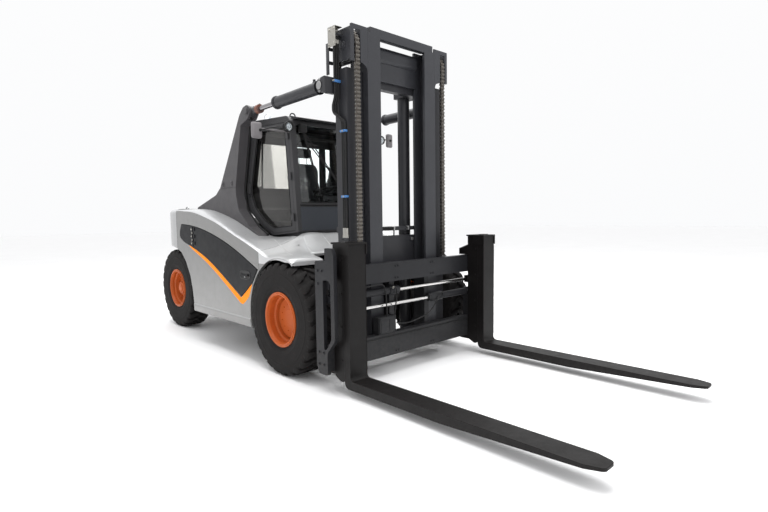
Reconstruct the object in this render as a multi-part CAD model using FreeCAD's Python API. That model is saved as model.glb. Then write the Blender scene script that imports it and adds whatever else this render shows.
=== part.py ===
import FreeCAD, Part
import math
import os
from FreeCAD import Vector as V

os.makedirs("parts", exist_ok=True)

# ---------------------------------------------------------------- dimensions
# All sizes in millimetres. The truck drives towards -Y, +X is the driver's
# left, +Z is up and the floor is z = 0. Inside this file y = 0 is the front
# axle; Y_SHIFT moves everything so that the origin is the bottom centre of
# the whole machine, forks included.
Y_SHIFT = -300.0

WHEELBASE = 3200.0
TYRE_R = 575.0             # tyre outside radius
TYRE_W = 310.0             # tyre section width
BEAD_R = 254.0             # 20-inch bead seat
FLANGE_R = 280.0
WHEEL_Z = 575.0
FRONT_TYRE_X = 1025.0      # centre plane of the front tyres
REAR_TYRE_X = 805.0        # centre plane of the rear tyres
KINGPIN_X = 595.0
KINGPIN_R = 30.0
SPINDLE_R = 50.0
RUN = 0.06                 # radial running clearance of shafts in bores

BODY_X = 1150.0            # outside of the body sides
WALL = 40.0
SILL_Z = 400.0
SEAM_Y = 415.0             # hood to body-side joint line
CW_Y = 2600.0              # body side to counterweight joint line
REAR_Y = 3850.0
ARCH_F_R = 620.0
ARCH_R_TOP = 1222.0
TOW_Y, TOW_R = 3780.0, 20.5
STEER_SWEEP_R = 678.0      # what the steered tyres sweep round their kingpins
DECK_T = 25.0

CAB_W0, CAB_Y0, CAB_FLARE = 640.0, 385.0, 0.08   # half width grows rearwards
CAB_FLOOR = 1180.0

PILLAR_X0, PILLAR_X1 = 755.0, 875.0
TILT_X = 815.0             # plane of the tilt cylinders
MAST_EYE = (-350.0, 2870.0)
PILLAR_EYE = (1070.0, 2845.0)
TILT_PIN_R = 27.0
MAST_PIVOT = (-140.0, 420.0)
MAST_PIN_R = 35.0

INNER_X0, INNER_X1 = 325.0, 495.0
INNER_Y0, INNER_Y1 = -640.0, -460.0
INNER_Z0, INNER_Z1 = 165.0, 3440.0
OUTER_X0, OUTER_X1 = 505.0, 700.0
OUTER_Y0, OUTER_Y1 = -565.0, -385.0
OUTER_Z0, OUTER_Z1 = 130.0, 3030.0
CHAIN_X0, CHAIN_X1 = 585.0, 660.0
SHEAVE_Y, SHEAVE_Z, SHEAVE_R = -490.0, 3250.0, 140.0
LIFT_X, LIFT_Y = 378.0, -262.0
LIFT_BARREL_R, LIFT_ROD_R = 68.0, 40.0

BAR_Y0, BAR_Y1 = -780.0, -700.0
BAR_X = 1125.0
UPBAR_Z = (950.0, 1140.0)
LOBAR_Z = (200.0, 430.0)

FORK_X = 985.0
FORK_W = 200.0
FORK_T = 80.0
FORK_Z = 70.0              # underside of the blade at rest
FORK_FACE_Y = -1010.0      # front face of the shank
FORK_TIP_Y = -3250.0
SHANK_TOP = 1360.0

HOSE_R, HOSE_Y = 11.0, -458.0
HOSE_CLAMP_Z, HOSE_TOP_Z = 2920.0, 3335.0
POS_Y = -738.0             # fork positioner cylinders
POS_UP_Z, POS_LO_Z = 854.0, 714.0
POS_BARREL_R, POS_ROD_R = 38.0, 19.0


# ---------------------------------------------------------------- helpers
def box(x0, x1, y0, y1, z0, z1):
    return Part.makeBox(x1 - x0, y1 - y0, z1 - z0, V(x0, y0, z0))


def cylx(x0, x1, y, z, r):
    return Part.makeCylinder(r, x1 - x0, V(x0, y, z), V(1, 0, 0))


def cyly(y0, y1, x, z, r):
    return Part.makeCylinder(r, y1 - y0, V(x, y0, z), V(0, 1, 0))


def cylz(z0, z1, x, y, r):
    return Part.makeCylinder(r, z1 - z0, V(x, y, z0), V(0, 0, 1))


def rwire(pts, r=0.0):
    """Closed wire through 3-D points with each corner rounded by r
    (a number, or one number per corner)."""
    n = len(pts)
    rad = [r] * n if isinstance(r, (int, float)) else list(r)
    ends = []
    for i in range(n):
        p, a, b = pts[i], pts[i - 1], pts[(i + 1) % n]
        if rad[i] <= 0:
            ends.append((p, None, p))
            continue
        u, w = (a - p), (b - p)
        lu, lw = u.Length, w.Length
        u, w = u / lu, w / lw
        ang = math.acos(max(-1, min(1, u.dot(w))))
        if ang > math.pi - 1e-3:
            ends.append((p, None, p))
            continue
        t = min(rad[i] / math.tan(ang / 2), 0.48 * lu, 0.48 * lw)
        rr = t * math.tan(ang / 2)
        bis = (u + w)
        bis = bis / bis.Length
        c = p + bis * (rr / math.sin(ang / 2))
        m = c - bis * rr
        ends.append((p + u * t, m, p + w * t))
    edges = []
    for i in range(n):
        s, m, e = ends[i]
        if m is not None:
            edges.append(Part.Arc(s, m, e).toShape())
        nxt = ends[(i + 1) % n][0]
        if (nxt - e).Length > 1e-6:
            edges.append(Part.LineSegment(e, nxt).toShape())
    return Part.Wire(edges)


def prism_x(pts, x0, x1, r=0.0):
    w = rwire([V(x0, y, z) for y, z in pts], r)
    return Part.Face(w).extrude(V(x1 - x0, 0, 0))


def prism_y(pts, y0, y1, r=0.0):
    w = rwire([V(x, y0, z) for x, z in pts], r)
    return Part.Face(w).extrude(V(0, y1 - y0, 0))


def prism_z(pts, z0, z1, r=0.0):
    w = rwire([V(x, y, z0) for x, y in pts], r)
    return Part.Face(w).extrude(V(0, 0, z1 - z0))


def revolve_x(prof, y, z, r=0.0):
    """Ring from (x, radius) points turned round the X line through (y, z)."""
    w = rwire([V(x, y, z + q) for x, q in prof], r)
    return Part.Face(w).revolve(V(0, y, z), V(1, 0, 0), 360)


def tube(pts, bend, r):
    """Round hose of radius r along straight runs joined by arcs of radius bend."""
    pts = [V(*p) for p in pts]
    edges, start = [], pts[0]
    for i in range(1, len(pts) - 1):
        p, u, w = pts[i], pts[i - 1] - pts[i], pts[i + 1] - pts[i]
        lu, lw = u.Length, w.Length
        u, w = u / lu, w / lw
        ang = math.acos(max(-1, min(1, u.dot(w))))
        if ang > math.pi - 1e-3:
            continue
        t = min(bend / math.tan(ang / 2), 0.48 * lu, 0.48 * lw)
        rr = t * math.tan(ang / 2)
        bis = u + w
        bis = bis / bis.Length
        m = p + bis * (rr / math.sin(ang / 2) - rr)
        edges.append(Part.LineSegment(start, p + u * t).toShape())
        edges.append(Part.Arc(p + u * t, m, p + w * t).toShape())
        start = p + w * t
    edges.append(Part.LineSegment(start, pts[-1]).toShape())
    path = Part.Wire(edges)
    d = pts[1] - pts[0]
    ring = Part.Wire([Part.makeCircle(r, pts[0], d)])
    return path.makePipeShell([ring], True, False)


def mir(s):
    return s.mirror(V(0, 0, 0), V(1, 0, 0))


def fuse(*ss):
    flat = []
    for s in ss:
        flat += s if isinstance(s, list) else [s]
    out = flat[0].fuse(flat[1:]) if len(flat) > 1 else flat[0]
    return out.removeSplitter()


def both(s):
    """A left-hand solid and its right-hand mirror, joined."""
    return [s, mir(s)]


def lerp(tab, y):
    if y <= tab[0][0]:
        return tab[0][1]
    for (a, za), (b, zb) in zip(tab, tab[1:]):
        if y <= b:
            return za + (zb - za) * (y - a) / (b - a)
    return tab[-1][1]


nodes = {}


def put(name, *solids):
    flat = []
    for s in solids:
        flat += s if isinstance(s, list) else [s]
    out = []
    for s in flat:
        out += s.Solids
    assert out, name
    shape = out[0] if len(out) == 1 else Part.makeCompound(out)
    nodes[name] = shape
    return shape


# ---------------------------------------------------------------- body skin
# Height of the top skin over the floor, as rows across the truck. The outer
# column falls away a little so that the crease along the body is rounded.
SKIN_X = [0, 300, 600, 700, 800, 950, 1080, 1128, 1150]
SKIN = [
    (-220, [1162, 1162, 1163, 1164, 1166, 1168, 1168, 1163, 1150]),
    (-110, [1192, 1192, 1194, 1196, 1199, 1202, 1201, 1197, 1184]),
    (0, [1224, 1224, 1224, 1222, 1219, 1214, 1212, 1209, 1197]),
    (110, [1266, 1266, 1264, 1256, 1244, 1224, 1214, 1208, 1196]),
    (225, [1322, 1322, 1318, 1300, 1272, 1230, 1206, 1198, 1184]),
    (330, [1376, 1376, 1370, 1338, 1304, 1258, 1229, 1220, 1205]),
    (430, [1424, 1424, 1416, 1370, 1332, 1290, 1268, 1258, 1243]),
    (545, [1428, 1428, 1412, 1374, 1348, 1320, 1306, 1297, 1284]),
    (660, [1404, 1404, 1400, 1378, 1366, 1352, 1342, 1334, 1322]),
    (780, [1384, 1384, 1384, 1378, 1376, 1376, 1376, 1370, 1358]),
    (900, [1392, 1392, 1390, 1390, 1394, 1402, 1407, 1404, 1393]),
    (1050, [1440, 1440, 1440, 1440, 1444, 1450, 1455, 1451, 1440]),
    (1220, [1502, 1502, 1502, 1502, 1504, 1508, 1511, 1506, 1494]),
    (1406, [1566, 1566, 1566, 1566, 1567, 1569, 1569, 1563, 1551]),
    (1620, [1624, 1624, 1624, 1624, 1624, 1624, 1621, 1614, 1602]),
    (1826, [1672, 1672, 1672, 1672, 1671, 1669, 1664, 1658, 1646]),
    (2120, [1722, 1722, 1722, 1722, 1720, 1716, 1709, 1702, 1690]),
    (2360, [1736, 1736, 1736, 1736, 1734, 1730, 1722, 1715, 1703]),
    (2600, [1740, 1740, 1740, 1740, 1738, 1734, 1727, 1720, 1708]),
]


def skin_face():
    xs = [-x for x in reversed(SKIN_X[1:])] + SKIN_X
    rows = []
    for y, zs in SKIN:
        z = list(reversed(zs[1:])) + zs
        rows.append([V(a, y, b) for a, b in zip(xs, z)])
    s = Part.BSplineSurface()
    s.interpolate(rows)
    return s.toShape()


skin = skin_face()
skin_sheet = skin.extrude(V(0, 0, -DECK_T))
skin_above = skin.extrude(V(0, 0, 2200))


def cab_x(y, out=0.0):
    return CAB_W0 + CAB_FLARE * (y - CAB_Y0) + out


# side panel outline (y, z): a long dark hatch with a curved top edge
HATCH_TOP = [(2435, 1527), (2113, 1511), (1791, 1468), (1469, 1401), (1126, 1309),
             (811, 1199), (577, 1103), (447, 1048)]
HATCH_LOW = [(571, 893), (719, 791), (825, 724), (907, 762), (1139, 875), (1454, 1023),
             (1747, 1139), (2088, 1239), (2369, 1302), (2498, 1358), (2488, 1443)]
HINGE_X, HINGE_Y = 1160.0, 2066.0


HATCH_RAD = [14] + [4000] * 6 + [14, 14, 10, 14, 40, 4000, 4000, 4000, 4000, 60, 40, 30]


def hatch_outline(grow=0.0):
    """Closed wire of the side panel in the plane x = 0."""
    w = rwire([V(0, y, z) for y, z in HATCH_TOP + HATCH_LOW], HATCH_RAD)
    return w.makeOffset2D(grow) if grow else w


def hatch_solid(x0, x1, grow=0.0):
    f = Part.Face(hatch_outline(grow))
    s = f.extrude(V(x1 - x0, 0, 0))
    s.translate(V(x0, 0, 0))
    return s


# ------------------------------------------------------------ body sides
wall_pts = [(-220, 1120), (-220, 1300), (2600, 1900), (2600, 1195),
            (2477, 1154), (2338, 1040), (2211, 856), (2148, 661), (2120, 480), (2110, SILL_Z),
            (560, SILL_Z), (560, 1120)]
wall = prism_x(wall_pts, BODY_X - WALL, BODY_X)
wall = wall.cut(cylx(BODY_X - 200, BODY_X + 200, 0, WHEEL_Z, ARCH_F_R))
wall = wall.cut(skin_above)
wall = wall.cut(box(0, 2000, -300, 595, 0, 560))

deck = skin_sheet.common(box(0, 2000, -400, CW_Y, 900, 2000))
# opening for the cab, its tail and the rear lid
cab_hole = prism_z([(0, SEAM_Y), (cab_x(SEAM_Y, 14), SEAM_Y), (cab_x(1640, 14), 1640), (742, 1650),
                    (742, CW_Y), (0, CW_Y)], 900, 2000)
deck_side = deck.cut(cab_hole).common(box(0, 2000, SEAM_Y, CW_Y, 900, 2000))
wall_side = wall.common(box(0, 2000, SEAM_Y, CW_Y, 0, 2000))
gap_cut = hatch_solid(BODY_X - WALL - 10, BODY_X + 10, 8.0)
wall_side = wall_side.cut(gap_cut)
side_l = wall_side.fuse(deck_side)
# rebate ledge that the hatch closes on
ledge = hatch_solid(BODY_X - WALL - 12, BODY_X - WALL, 30.0).cut(
    hatch_solid(BODY_X - WALL - 30, BODY_X + 10, -30.0))
ledge = ledge.common(box(0, 2000, SEAM_Y, 2560, 0, 2000)).cut(
    cylx(BODY_X - 200, BODY_X + 200, 0, WHEEL_Z, ARCH_F_R))
put("body_side_left", side_l)
put("body_side_right", mir(side_l))

# front hood with both fender tops
hood_sheet = skin_sheet.common(box(-2000, 2000, -400, SEAM_Y, 900, 2000))
notch = prism_z([(-770, -400), (-770, -60), (-730, -20), (730, -20), (770, -60), (770, -400)], 900, 1400)
hood_wall = wall.common(box(0, 2000, -400, SEAM_Y, 0, 2000))
lip = box(770, 1120, -220, -200, 1128, 1160)
hood = fuse(hood_sheet.cut(notch), both(hood_wall), both(lip))
hood = hood.cut(skin_above)
put("front_hood", hood)

# fixed rear part of the dark side panel and its hinge strip, both sides
hatch_full = hatch_solid(BODY_X - 30, BODY_X + 2)
hatch_l = hatch_full.common(box(0, 2000, 0, HINGE_Y - 8, 0, 3000)).cut(
    cylx(BODY_X - 300, BODY_X + 300, 0, WHEEL_Z, ARCH_F_R + 12))
trim_l = hatch_full.common(box(0, 2000, HINGE_Y + 8, 3000, 0, 3000))
trim_back = hatch_solid(BODY_X - WALL, BODY_X - 29).common(box(0, 2000, HINGE_Y + 8, 3000, 0, 3000))
put("side_trims", fuse(trim_l, trim_back), mir(fuse(trim_l, trim_back)))
# left side: front part is a fixed step panel with two foot pockets
STEP_Y = 1190.0
pocket1 = box(BODY_X - 165, BODY_X + 10, 850, 1120, 930, 1090)
pocket_liner = box(BODY_X - 180, BODY_X - 29, 835, 1135, 915, 1105)
step_panel = hatch_l.common(box(0, 2000, 0, STEP_Y - 4, 0, 3000))
step_panel = fuse(step_panel, pocket_liner).cut(pocket1)
put("step_panel_left", step_panel)
grip = fuse(box(BODY_X + 2, BODY_X + 18, 640, 790, 968, 982), cylx(BODY_X - 10, BODY_X + 18, 655, 975, 9),
            cylx(BODY_X - 10, BODY_X + 18, 775, 975, 9))
straps = []
for z in (1262, 1352, 1442):
    straps += [cylz(z, z + 50, HINGE_X, HINGE_Y, 6), box(1149, HINGE_X, 2010, HINGE_Y - 1, z + 4, z + 46)]
put("hatch_right", mir(fuse(hatch_l, grip, straps)))
grip2 = grip.copy()
grip2.translate(V(0, 640, 210))
put("hatch_left", fuse(hatch_l.common(box(0, 2000, STEP_Y + 4, 3000, 0, 3000)), grip2, straps))

# ------------------------------------------------------------ counterweight
plan = [(0, CW_Y), (BODY_X, CW_Y), (BODY_X, 2630), (1136, 2790), (1082, 2990), (1002, 3200),
        (905, 3395), (785, 3570), (620, 3720), (350, 3822), (0, REAR_Y)]
half = [V(x, y, 0) for x, y in plan[2:]]
mirr = [V(-p.x, p.y, 0) for p in reversed(half[:-1])]
c = Part.BSplineCurve()
c.interpolate(half + mirr)
w = Part.Wire([Part.LineSegment(V(-BODY_X, CW_Y, 0), V(BODY_X, CW_Y, 0)).toShape(),
               Part.LineSegment(V(BODY_X, CW_Y, 0), half[0]).toShape(), c.toShape(),
               Part.LineSegment(V(-BODY_X, 2630, 0), V(-BODY_X, CW_Y, 0)).toShape()])
cw_plan = Part.Face(w)
cw = cw_plan.extrude(V(0, 0, 1740 - 1195))
cw.translate(V(0, 0, 1195))
edge = [e for e in cw.Edges if e.BoundBox.ZMin > 1739.9 and e.BoundBox.YMax > 2700.1 and e.BoundBox.YLength > 200]
try:
    cw = cw.makeFillet(70.0, edge)
except Exception as ex:
    print("counterweight edge left sharp", ex)
lower_cut = prism_x([(2590, 1100), (2590, 1195), (2700, 1214), (2790, ARCH_R_TOP), (3900, ARCH_R_TOP),
                     (3900, 1100)], -1300, 1300)
cw = cw.cut(lower_cut)
# low middle part of the casting behind the axle, kept outside the wheels' sweep
low = prism_z([(-560, 3640), (560, 3640), (560, 3790), (420, 3815), (-420, 3815), (-560, 3790)], 520, 1230)
for s in (1, -1):
    low = low.cut(cylz(500, 1222, s * KINGPIN_X, WHEELBASE, STEER_SWEEP_R))
low = fuse(low, box(-95, 95, 3420, 3660, 640, 1230), box(-95, 95, 3640, 3800, 520, 1230))
# towing jaw with its pin bore, in a pocket at the rear
low = low.cut(box(-110, 110, 3700, 3900, 590, 690))
low = fuse(low, box(-70, 70, 3790, 3846, 560, 592), box(-70, 70, 3790, 3846, 688, 720))
low = low.cut(cylz(500, 760, 0, TOW_Y, TOW_R)).cut(cw)
put("counterweight", cw)
put("counterweight_low", low)

# ------------------------------------------------------------ main frame
frame = []
plate_out = prism_x([(-215, 350), (-60, 350), (60, 430), (640, 430), (640, 1140), (-20, 1140), (-60, 1060),
                     (-60, 700), (-120, 560), (-215, 500)], 470, 530, [70, 40, 30, 0, 0, 30, 20, 40, 30, 60])
plate_out = plate_out.cut(cylx(400, 600, 0, WHEEL_Z, 110.0))
pin = cylx(530, 640, MAST_PIVOT[0], MAST_PIVOT[1], MAST_PIN_R)
brackets = both(fuse(plate_out, pin))
frame.append(box(-1110, 1110, 600, 2110, 420, 445))                 # belly plate
frame.append(box(-1110, 1110, 625, 650, 420, 1165))                 # bulkhead behind the front wheels
liner = prism_x([(2085, 420), (2110, 420), (2120, 480), (2148, 661), (2211, 856), (2338, 1040), (2477, 1154),
                 (2598, 1193), (2598, 1225), (2465, 1186), (2316, 1068), (2184, 870), (2120, 666), (2092, 485)],
                -1110, 1110)
frame.append(box(-470, 470, 120, 150, 700, 1150))                   # cross plate over the axle
frame.append(box(-470, 470, 186, 202, 275, 730))                    # stone guard behind the axle
frame.append(box(-470, 470, 120, 202, 714, 730))
frame.append(box(-470, 470, 150, 640, 1120, 1150))                  # deck under the cab
for s in (1, -1):
    a, b = sorted((s * 790, s * 815))
    frame.append(box(a, b, -20, 640, 780, 1140))                    # inner wheel well
    a, b = sorted((s * 530, s * 790))
    frame.append(box(a, b, 100, 640, 1095, 1140))
spine = fuse(liner, prism_x([(2560, 1010), (3420, 1010), (3420, 1221), (2800, 1221), (2700, 1212), (2600, 1193), (2560, 1190)],
                     -95, 95), box(-90, 90, 3060, 3340, 680, 1020))  # arch liner and spine over the steer axle
strip = skin_sheet.common(prism_z([(-728, 1522), (-716, 1312), (716, 1312), (728, 1522)], 900, 2000))
frame.append(strip)
frame.append(box(-716, 716, 1312, 1330, 1142, 1520))                # wall behind the cab tub
spine = fuse(spine, box(-740, 740, 2545, 2585, 1190, 1700))        # wall behind the rear lid
frame.append(box(-1105, 1105, 1010, 1030, 440, 1140))               # wall in front of the battery
frame.append(box(-560, 560, 1010, 1036, 1120, 1160))
frame.append(box(-560, 560, 1030, 1330, 1142, 1160))
main = fuse(frame).cut(box(960, 1200, 825, 1145, 905, 1115)).cut(Part.makeCompound(brackets)).cut(spine)
put("main_frame", main)
put("mast_brackets", brackets)
put("rear_frame", spine)

put("battery_block", box(-950, 950, 1040, 2070, 448, 1140))

# ------------------------------------------------------------ axles
ax = [fuse(cylx(-820, 820, 0, WHEEL_Z, 109.5), box(-230, 230, -150, 110, 400, 690),
           revolve_x([(230, 0), (230, 170), (330, 125), (330, 0)], 0, WHEEL_Z),
           mir(revolve_x([(230, 0), (230, 170), (330, 125), (330, 0)], 0, WHEEL_Z)))]
for s in (1, -1):
    a, b = sorted((s * 810, s * 845))
    ax.append(cylx(a, b, 0, WHEEL_Z, 175))
    a, b = sorted((s * 840, s * 985))
    ax.append(cylx(a, b, 0, WHEEL_Z, SPINDLE_R))
put("drive_axle", fuse(ax))

beam = fuse(prism_x([(WHEELBASE - 100, 485), (WHEELBASE + 100, 485), (WHEELBASE + 100, 679), (WHEELBASE - 100, 679)],
                    -500, 500, 20.0))
arms = []
for z0, z1 in ((435, 484), (666, 715)):
    a = prism_z([(440, WHEELBASE - 60), (440, WHEELBASE + 60), (KINGPIN_X, WHEELBASE + 60),
                 (KINGPIN_X, WHEELBASE - 60)], z0, z1)
    a = fuse(a, cylz(z0, z1, KINGPIN_X, WHEELBASE, 60))
    a = a.cut(cylz(z0 - 1, z1 + 1, KINGPIN_X, WHEELBASE, KINGPIN_R + RUN))
    arms.append(a)
web = box(440, 500, WHEELBASE - 60, WHEELBASE + 60, 435, 715)
half_axle = fuse(arms + [web])
steer_cyl = cylx(-300, 300, WHEELBASE + 148, 560, 45)
steer_lug = box(-60, 60, WHEELBASE + 90, WHEELBASE + 150, 520, 600)
put("steer_axle", fuse([beam] + both(half_axle) + [steer_cyl, steer_lug]))

kn = fuse(cylz(486, 664, KINGPIN_X, WHEELBASE, 54), cylz(428, 722, KINGPIN_X, WHEELBASE, KINGPIN_R),
          cylx(KINGPIN_X, KINGPIN_X + 130, WHEELBASE, WHEEL_Z, 80),
          cylx(KINGPIN_X + 60, KINGPIN_X + 275, WHEELBASE, WHEEL_Z, SPINDLE_R))
put("knuckle_left", kn)
put("knuckle_right", mir(kn))


# ------------------------------------------------------------ wheels
def tyre(xc, y):
    h = TYRE_W / 2
    prof = [(-128, BEAD_R), (128, BEAD_R), (128, 284), (150, 330), (h, 400), (h, 500), (146, 545), (128, TYRE_R),
            (-128, TYRE_R), (-146, 545), (-h, 500), (-h, 400), (-150, 330), (-128, 284)]
    return revolve_x([(xc + a, b) for a, b in prof], y, WHEEL_Z, [0, 0, 6, 60, 80, 60, 20, 16, 16, 20, 60, 80, 60, 6])


def rim(xc, y, disc, hub, bore):
    """disc: outer face of the disc, hub: outer end of the hub, bore: depth of the
    spindle bore, all measured outwards from the tyre's centre plane."""
    prof = [(-142, FLANGE_R), (-142, 240), (disc - 62, 240), (disc - 16, 205), (disc - 16, 120), (-70, 112),
            (-70, 0), (hub, 0), (hub, 70), (hub - 6, 88), (disc + 22, 96), (disc + 22, 130), (disc, 140),
            (disc, 212), (disc + 60, 222), (disc + 72, 240), (118, 240), (142, 248), (142, FLANGE_R), (130, FLANGE_R),
            (130, BEAD_R), (-130, BEAD_R), (-130, FLANGE_R)]
    s = revolve_x([(xc + a, b) for a, b in prof], y, WHEEL_Z)
    return s.cut(cylx(xc - 200, xc + bore, y, WHEEL_Z, SPINDLE_R + RUN))


for nm, xc, y, disc, hub, bore in (("front", FRONT_TYRE_X, 0.0, -12.0, 18.0, -30.0),
                                   ("rear", REAR_TYRE_X, WHEELBASE, 20.0, 92.0, 70.0)):
    t = tyre(xc, y)
    r = rim(xc, y, disc, hub, bore)
    put("tyre_%s_left" % nm, t)
    put("tyre_%s_right" % nm, mir(t))
    put("wheel_%s_left" % nm, r)
    put("wheel_%s_right" % nm, mir(r))

# ------------------------------------------------------------ pillars
pil = [(2545, 1500), (2540, 1752), (1950, 1904), (1815, 1996), (1247, 2824), (1155, 2900), (1070, 2917),
       (1002, 2890), (1000, 2810), (1055, 2755), (1224, 2705), (1401, 1985), (1401, 1893), (1345, 1697),
       (1096, 1500), (940, 1428), (880, 1393), (880, 1250)]
prad = [0, 40, 60, 50, 150, 60, 70, 60, 30, 30, 12, 120, 120, 120, 40, 40, 8, 0]
pillar = prism_x(pil, PILLAR_X0, PILLAR_X1, prad).common(skin_above)
slot = prism_x([(890, 2990), (890, 2700), (1060, 2735), (1175, 2790), (1175, 2990)], TILT_X - 31, TILT_X + 31, 8)
pillar = pillar.cut(slot)
pillar = pillar.cut(prism_x([(1380, 1985), (1390, 1979), (1890, 1979), (1890, 1985)], PILLAR_X1 - 6, PILLAR_X1 + 5))
pillar = fuse(pillar, cylx(PILLAR_X0 - 8, PILLAR_X1 + 10, PILLAR_EYE[0], PILLAR_EYE[1], TILT_PIN_R),
              cylx(PILLAR_X1, PILLAR_X1 + 14, PILLAR_EYE[0], PILLAR_EYE[1], 42))
put("pillar_left", pillar)
put("pillar_right", mir(pillar))

# rear lid between the pillars
lid = skin_sheet.common(box(-732, 732, 1532, CW_Y - 12, 900, 2000))
lid = fuse(lid, both(cylx(410, 490, 2588, 1744, 7)))
put("rear_lid", lid)

# ------------------------------------------------------------ cab
CAB = [(405, 1436), (888, 1394), (1090, 1493), (1372, 1700), (1478, 1890), (1478, 1980), (1290, 2703),
       (1240, 2745), (1160, 2768), (565, 2745), (508, 2690)]
CAB_RAD = [10, 40, 60, 120, 120, 120, 60, 40, 40, 60, 40]


def inset(pts, d):
    w = rwire([V(0, y, z) for y, z in pts], CAB_RAD if len(pts) == len(CAB) else 0)
    return w.makeOffset2D(-d)


def taper(out, z0, z1, y0=300, y1=1700):
    return prism_z([(-cab_x(y0, out), y0), (cab_x(y0, out), y0), (cab_x(y1, out), y1), (-cab_x(y1, out), y1)], z0, z1)


def profile_solid(d):
    f = Part.Face(inset(CAB, d)) if d else Part.Face(rwire([V(0, y, z) for y, z in CAB], CAB_RAD))
    s = f.extrude(V(1800, 0, 0))
    s.translate(V(-900, 0, 0))
    return s


cab_out = profile_solid(0).common(taper(0, 1100, 2900))
cab_in = profile_solid(45).common(taper(-48, 1100, 2900))
shell = cab_out.cut(cab_in)
tub = prism_x([(425, CAB_FLOOR), (1235, CAB_FLOOR), (1330, 1660), (1330, 1720), (1060, 1500), (880, 1440),
               (425, 1470)], -600, 600)
tub_in = prism_x([(450, CAB_FLOOR + 25), (1216, CAB_FLOOR + 25), (1300, 1640), (1300, 1760), (450, 1760)],
                 -575, 575)
shell = fuse(shell, tub).cut(tub_in)
# windscreen, rear window and the two door openings
shell = shell.cut(prism_y([(-570, 1775), (570, 1775), (580, 2650), (-580, 2650)], 380, 600, 30))
shell = shell.cut(prism_y([(-560, 1980), (560, 1980), (560, 2620), (-560, 2620)], 1180, 1560, 50))
DOOR = [(455, 1452), (872, 1414), (1070, 1509), (1285, 1690), (1372, 1880), (1372, 1978), (1200, 2655),
        (1155, 2692), (575, 2680), (548, 2600)]
DOOR_RAD = [12, 60, 60, 120, 110, 110, 60, 40, 30, 20]
door_w = rwire([V(0, y, z) for y, z in DOOR], DOOR_RAD)


def door_prism(d):
    w = door_w.makeOffset2D(-d) if d else door_w
    s = Part.Face(w).extrude(V(1800, 0, 0))
    s.translate(V(-900, 0, 0))
    return s


shell = shell.cut(door_prism(0).cut(box(-560, 560, 0, 2000, 1000, 3000)))
shell = shell.cut(box(-900, 900, 300, 1700, 2706, 3000))
put("cab_shell", shell)

roof = profile_solid(0).common(taper(0, 1100, 2900)).common(box(-900, 900, 300, 1700, 2708, 3000))
roof = fuse(roof, prism_x([(430, 2716), (470, 2706), (600, 2708), (600, 2748), (560, 2750)], -600, 600))
sky = box(-440, 440, 640, 1020, 2600, 2900)
roof = roof.cut(sky)
roof_in = profile_solid(30).common(taper(-60, 1100, 2900)).common(box(-900, 900, 300, 1700, 2706, 2722))
roof = roof.cut(roof_in)
put("cab_roof", roof)

door_pl = door_prism(6).common(taper(-2, 1100, 2900)).cut(taper(-44, 1100, 2900)).common(
    box(0, 900, 0, 2000, 1000, 3000))
door_win = door_prism(62)
door_frame = door_pl.cut(door_win)
knuckles = []
for z in (1560, 2020, 2480):
    t0, t1 = (z - 1440) / 1148.0, (z + 90 - 1440) / 1148.0
    a = V(cab_x(452, 17), 452 + 93 * t0, z)
    b = V(cab_x(452, 17), 452 + 93 * t1, z + 90)
    knuckles.append(Part.makeCylinder(8, (b - a).Length, a, b - a))
    ym = (a.y + b.y) / 2
    knuckles.append(box(cab_x(ym + 48, 0.5), cab_x(452, 20), ym + 4, ym + 48, z + 15, z + 75))
    knuckles.append(box(cab_x(ym, -12), cab_x(452, 20), ym + 24, ym + 48, z + 15, z + 75))
door_frame = fuse(door_frame, knuckles, box(cab_x(1330, -20), cab_x(1330, 26), 1322, 1340, 1900, 2030))
glass = door_prism(48).common(taper(-18, 1100, 2900)).cut(taper(-26, 1100, 2900)).common(
    box(0, 900, 0, 2000, 1000, 3000))
door_frame2 = door_frame.cut(glass)
put("cab_door_left", door_frame2)
put("cab_door_right", mir(door_frame2))
put("door_glass_left", glass)
put("door_glass_right", mir(glass))

ws = prism_y([(-578, 1767), (578, 1767), (588, 2658), (-588, 2658)], 300, 700, 34)
outer8 = profile_solid(14)
outer20 = profile_solid(21)
ws = ws.common(outer8).cut(outer20).common(box(-900, 900, 300, 700, 1700, 2800))
shell2 = nodes["cab_shell"].cut(ws)
rw = prism_y([(-568, 1972), (568, 1972), (568, 2628), (-568, 2628)], 1150, 1600, 54)
rw = rw.common(outer8).cut(outer20).common(box(-900, 900, 1100, 1700, 1700, 2800))
shell2 = shell2.cut(rw)
put("cab_shell", shell2)
skyl = prism_z([(-450, 630), (450, 630), (450, 1030), (-450, 1030)], 2700, 2800, 10).common(outer8).cut(outer20)
skyl = skyl.common(box(-900, 900, 500, 1200, 2712, 2800))
put("cab_glass", ws, rw, skyl)
put("cab_roof", nodes["cab_roof"].cut(skyl))

# seat, dashboard and steering wheel
put("seat_frame", fuse(box(-170, 170, 820, 1160, CAB_FLOOR + 25, 1480), box(-240, 240, 770, 1230, 1480, 1530),
                       prism_x([(1188, 1530), (1230, 1530), (1300, 2140), (1262, 2140)], -190, 190),
                       box(240, 330, 800, 1120, 1690, 1720), box(256, 276, 1080, 1110, 1480, 1700), box(230, 276, 1080, 1110, 1480, 1530)))
cush = prism_y([(-240, 1534), (240, 1534), (250, 1600), (225, 1650), (-225, 1650), (-250, 1600)], 745, 1180, 20)
back = prism_x([(1120, 1664), (1182, 1664), (1254, 2290), (1232, 2330), (1180, 2316)], -235, 235, [10, 0, 0, 20, 30])
put("seat_pads", cush, back)
dash = fuse(prism_x([(482, CAB_FLOOR + 25), (560, CAB_FLOOR + 25), (560, 1600), (640, 1740), (600, 1765),
                     (482, 1765)], -420, 420, [0, 0, 40, 20, 20, 0]),
            prism_x([(540, 1500), (600, 1480), (706, 1880), (664, 1892)], -45, 45))
put("dashboard", dash)
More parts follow.
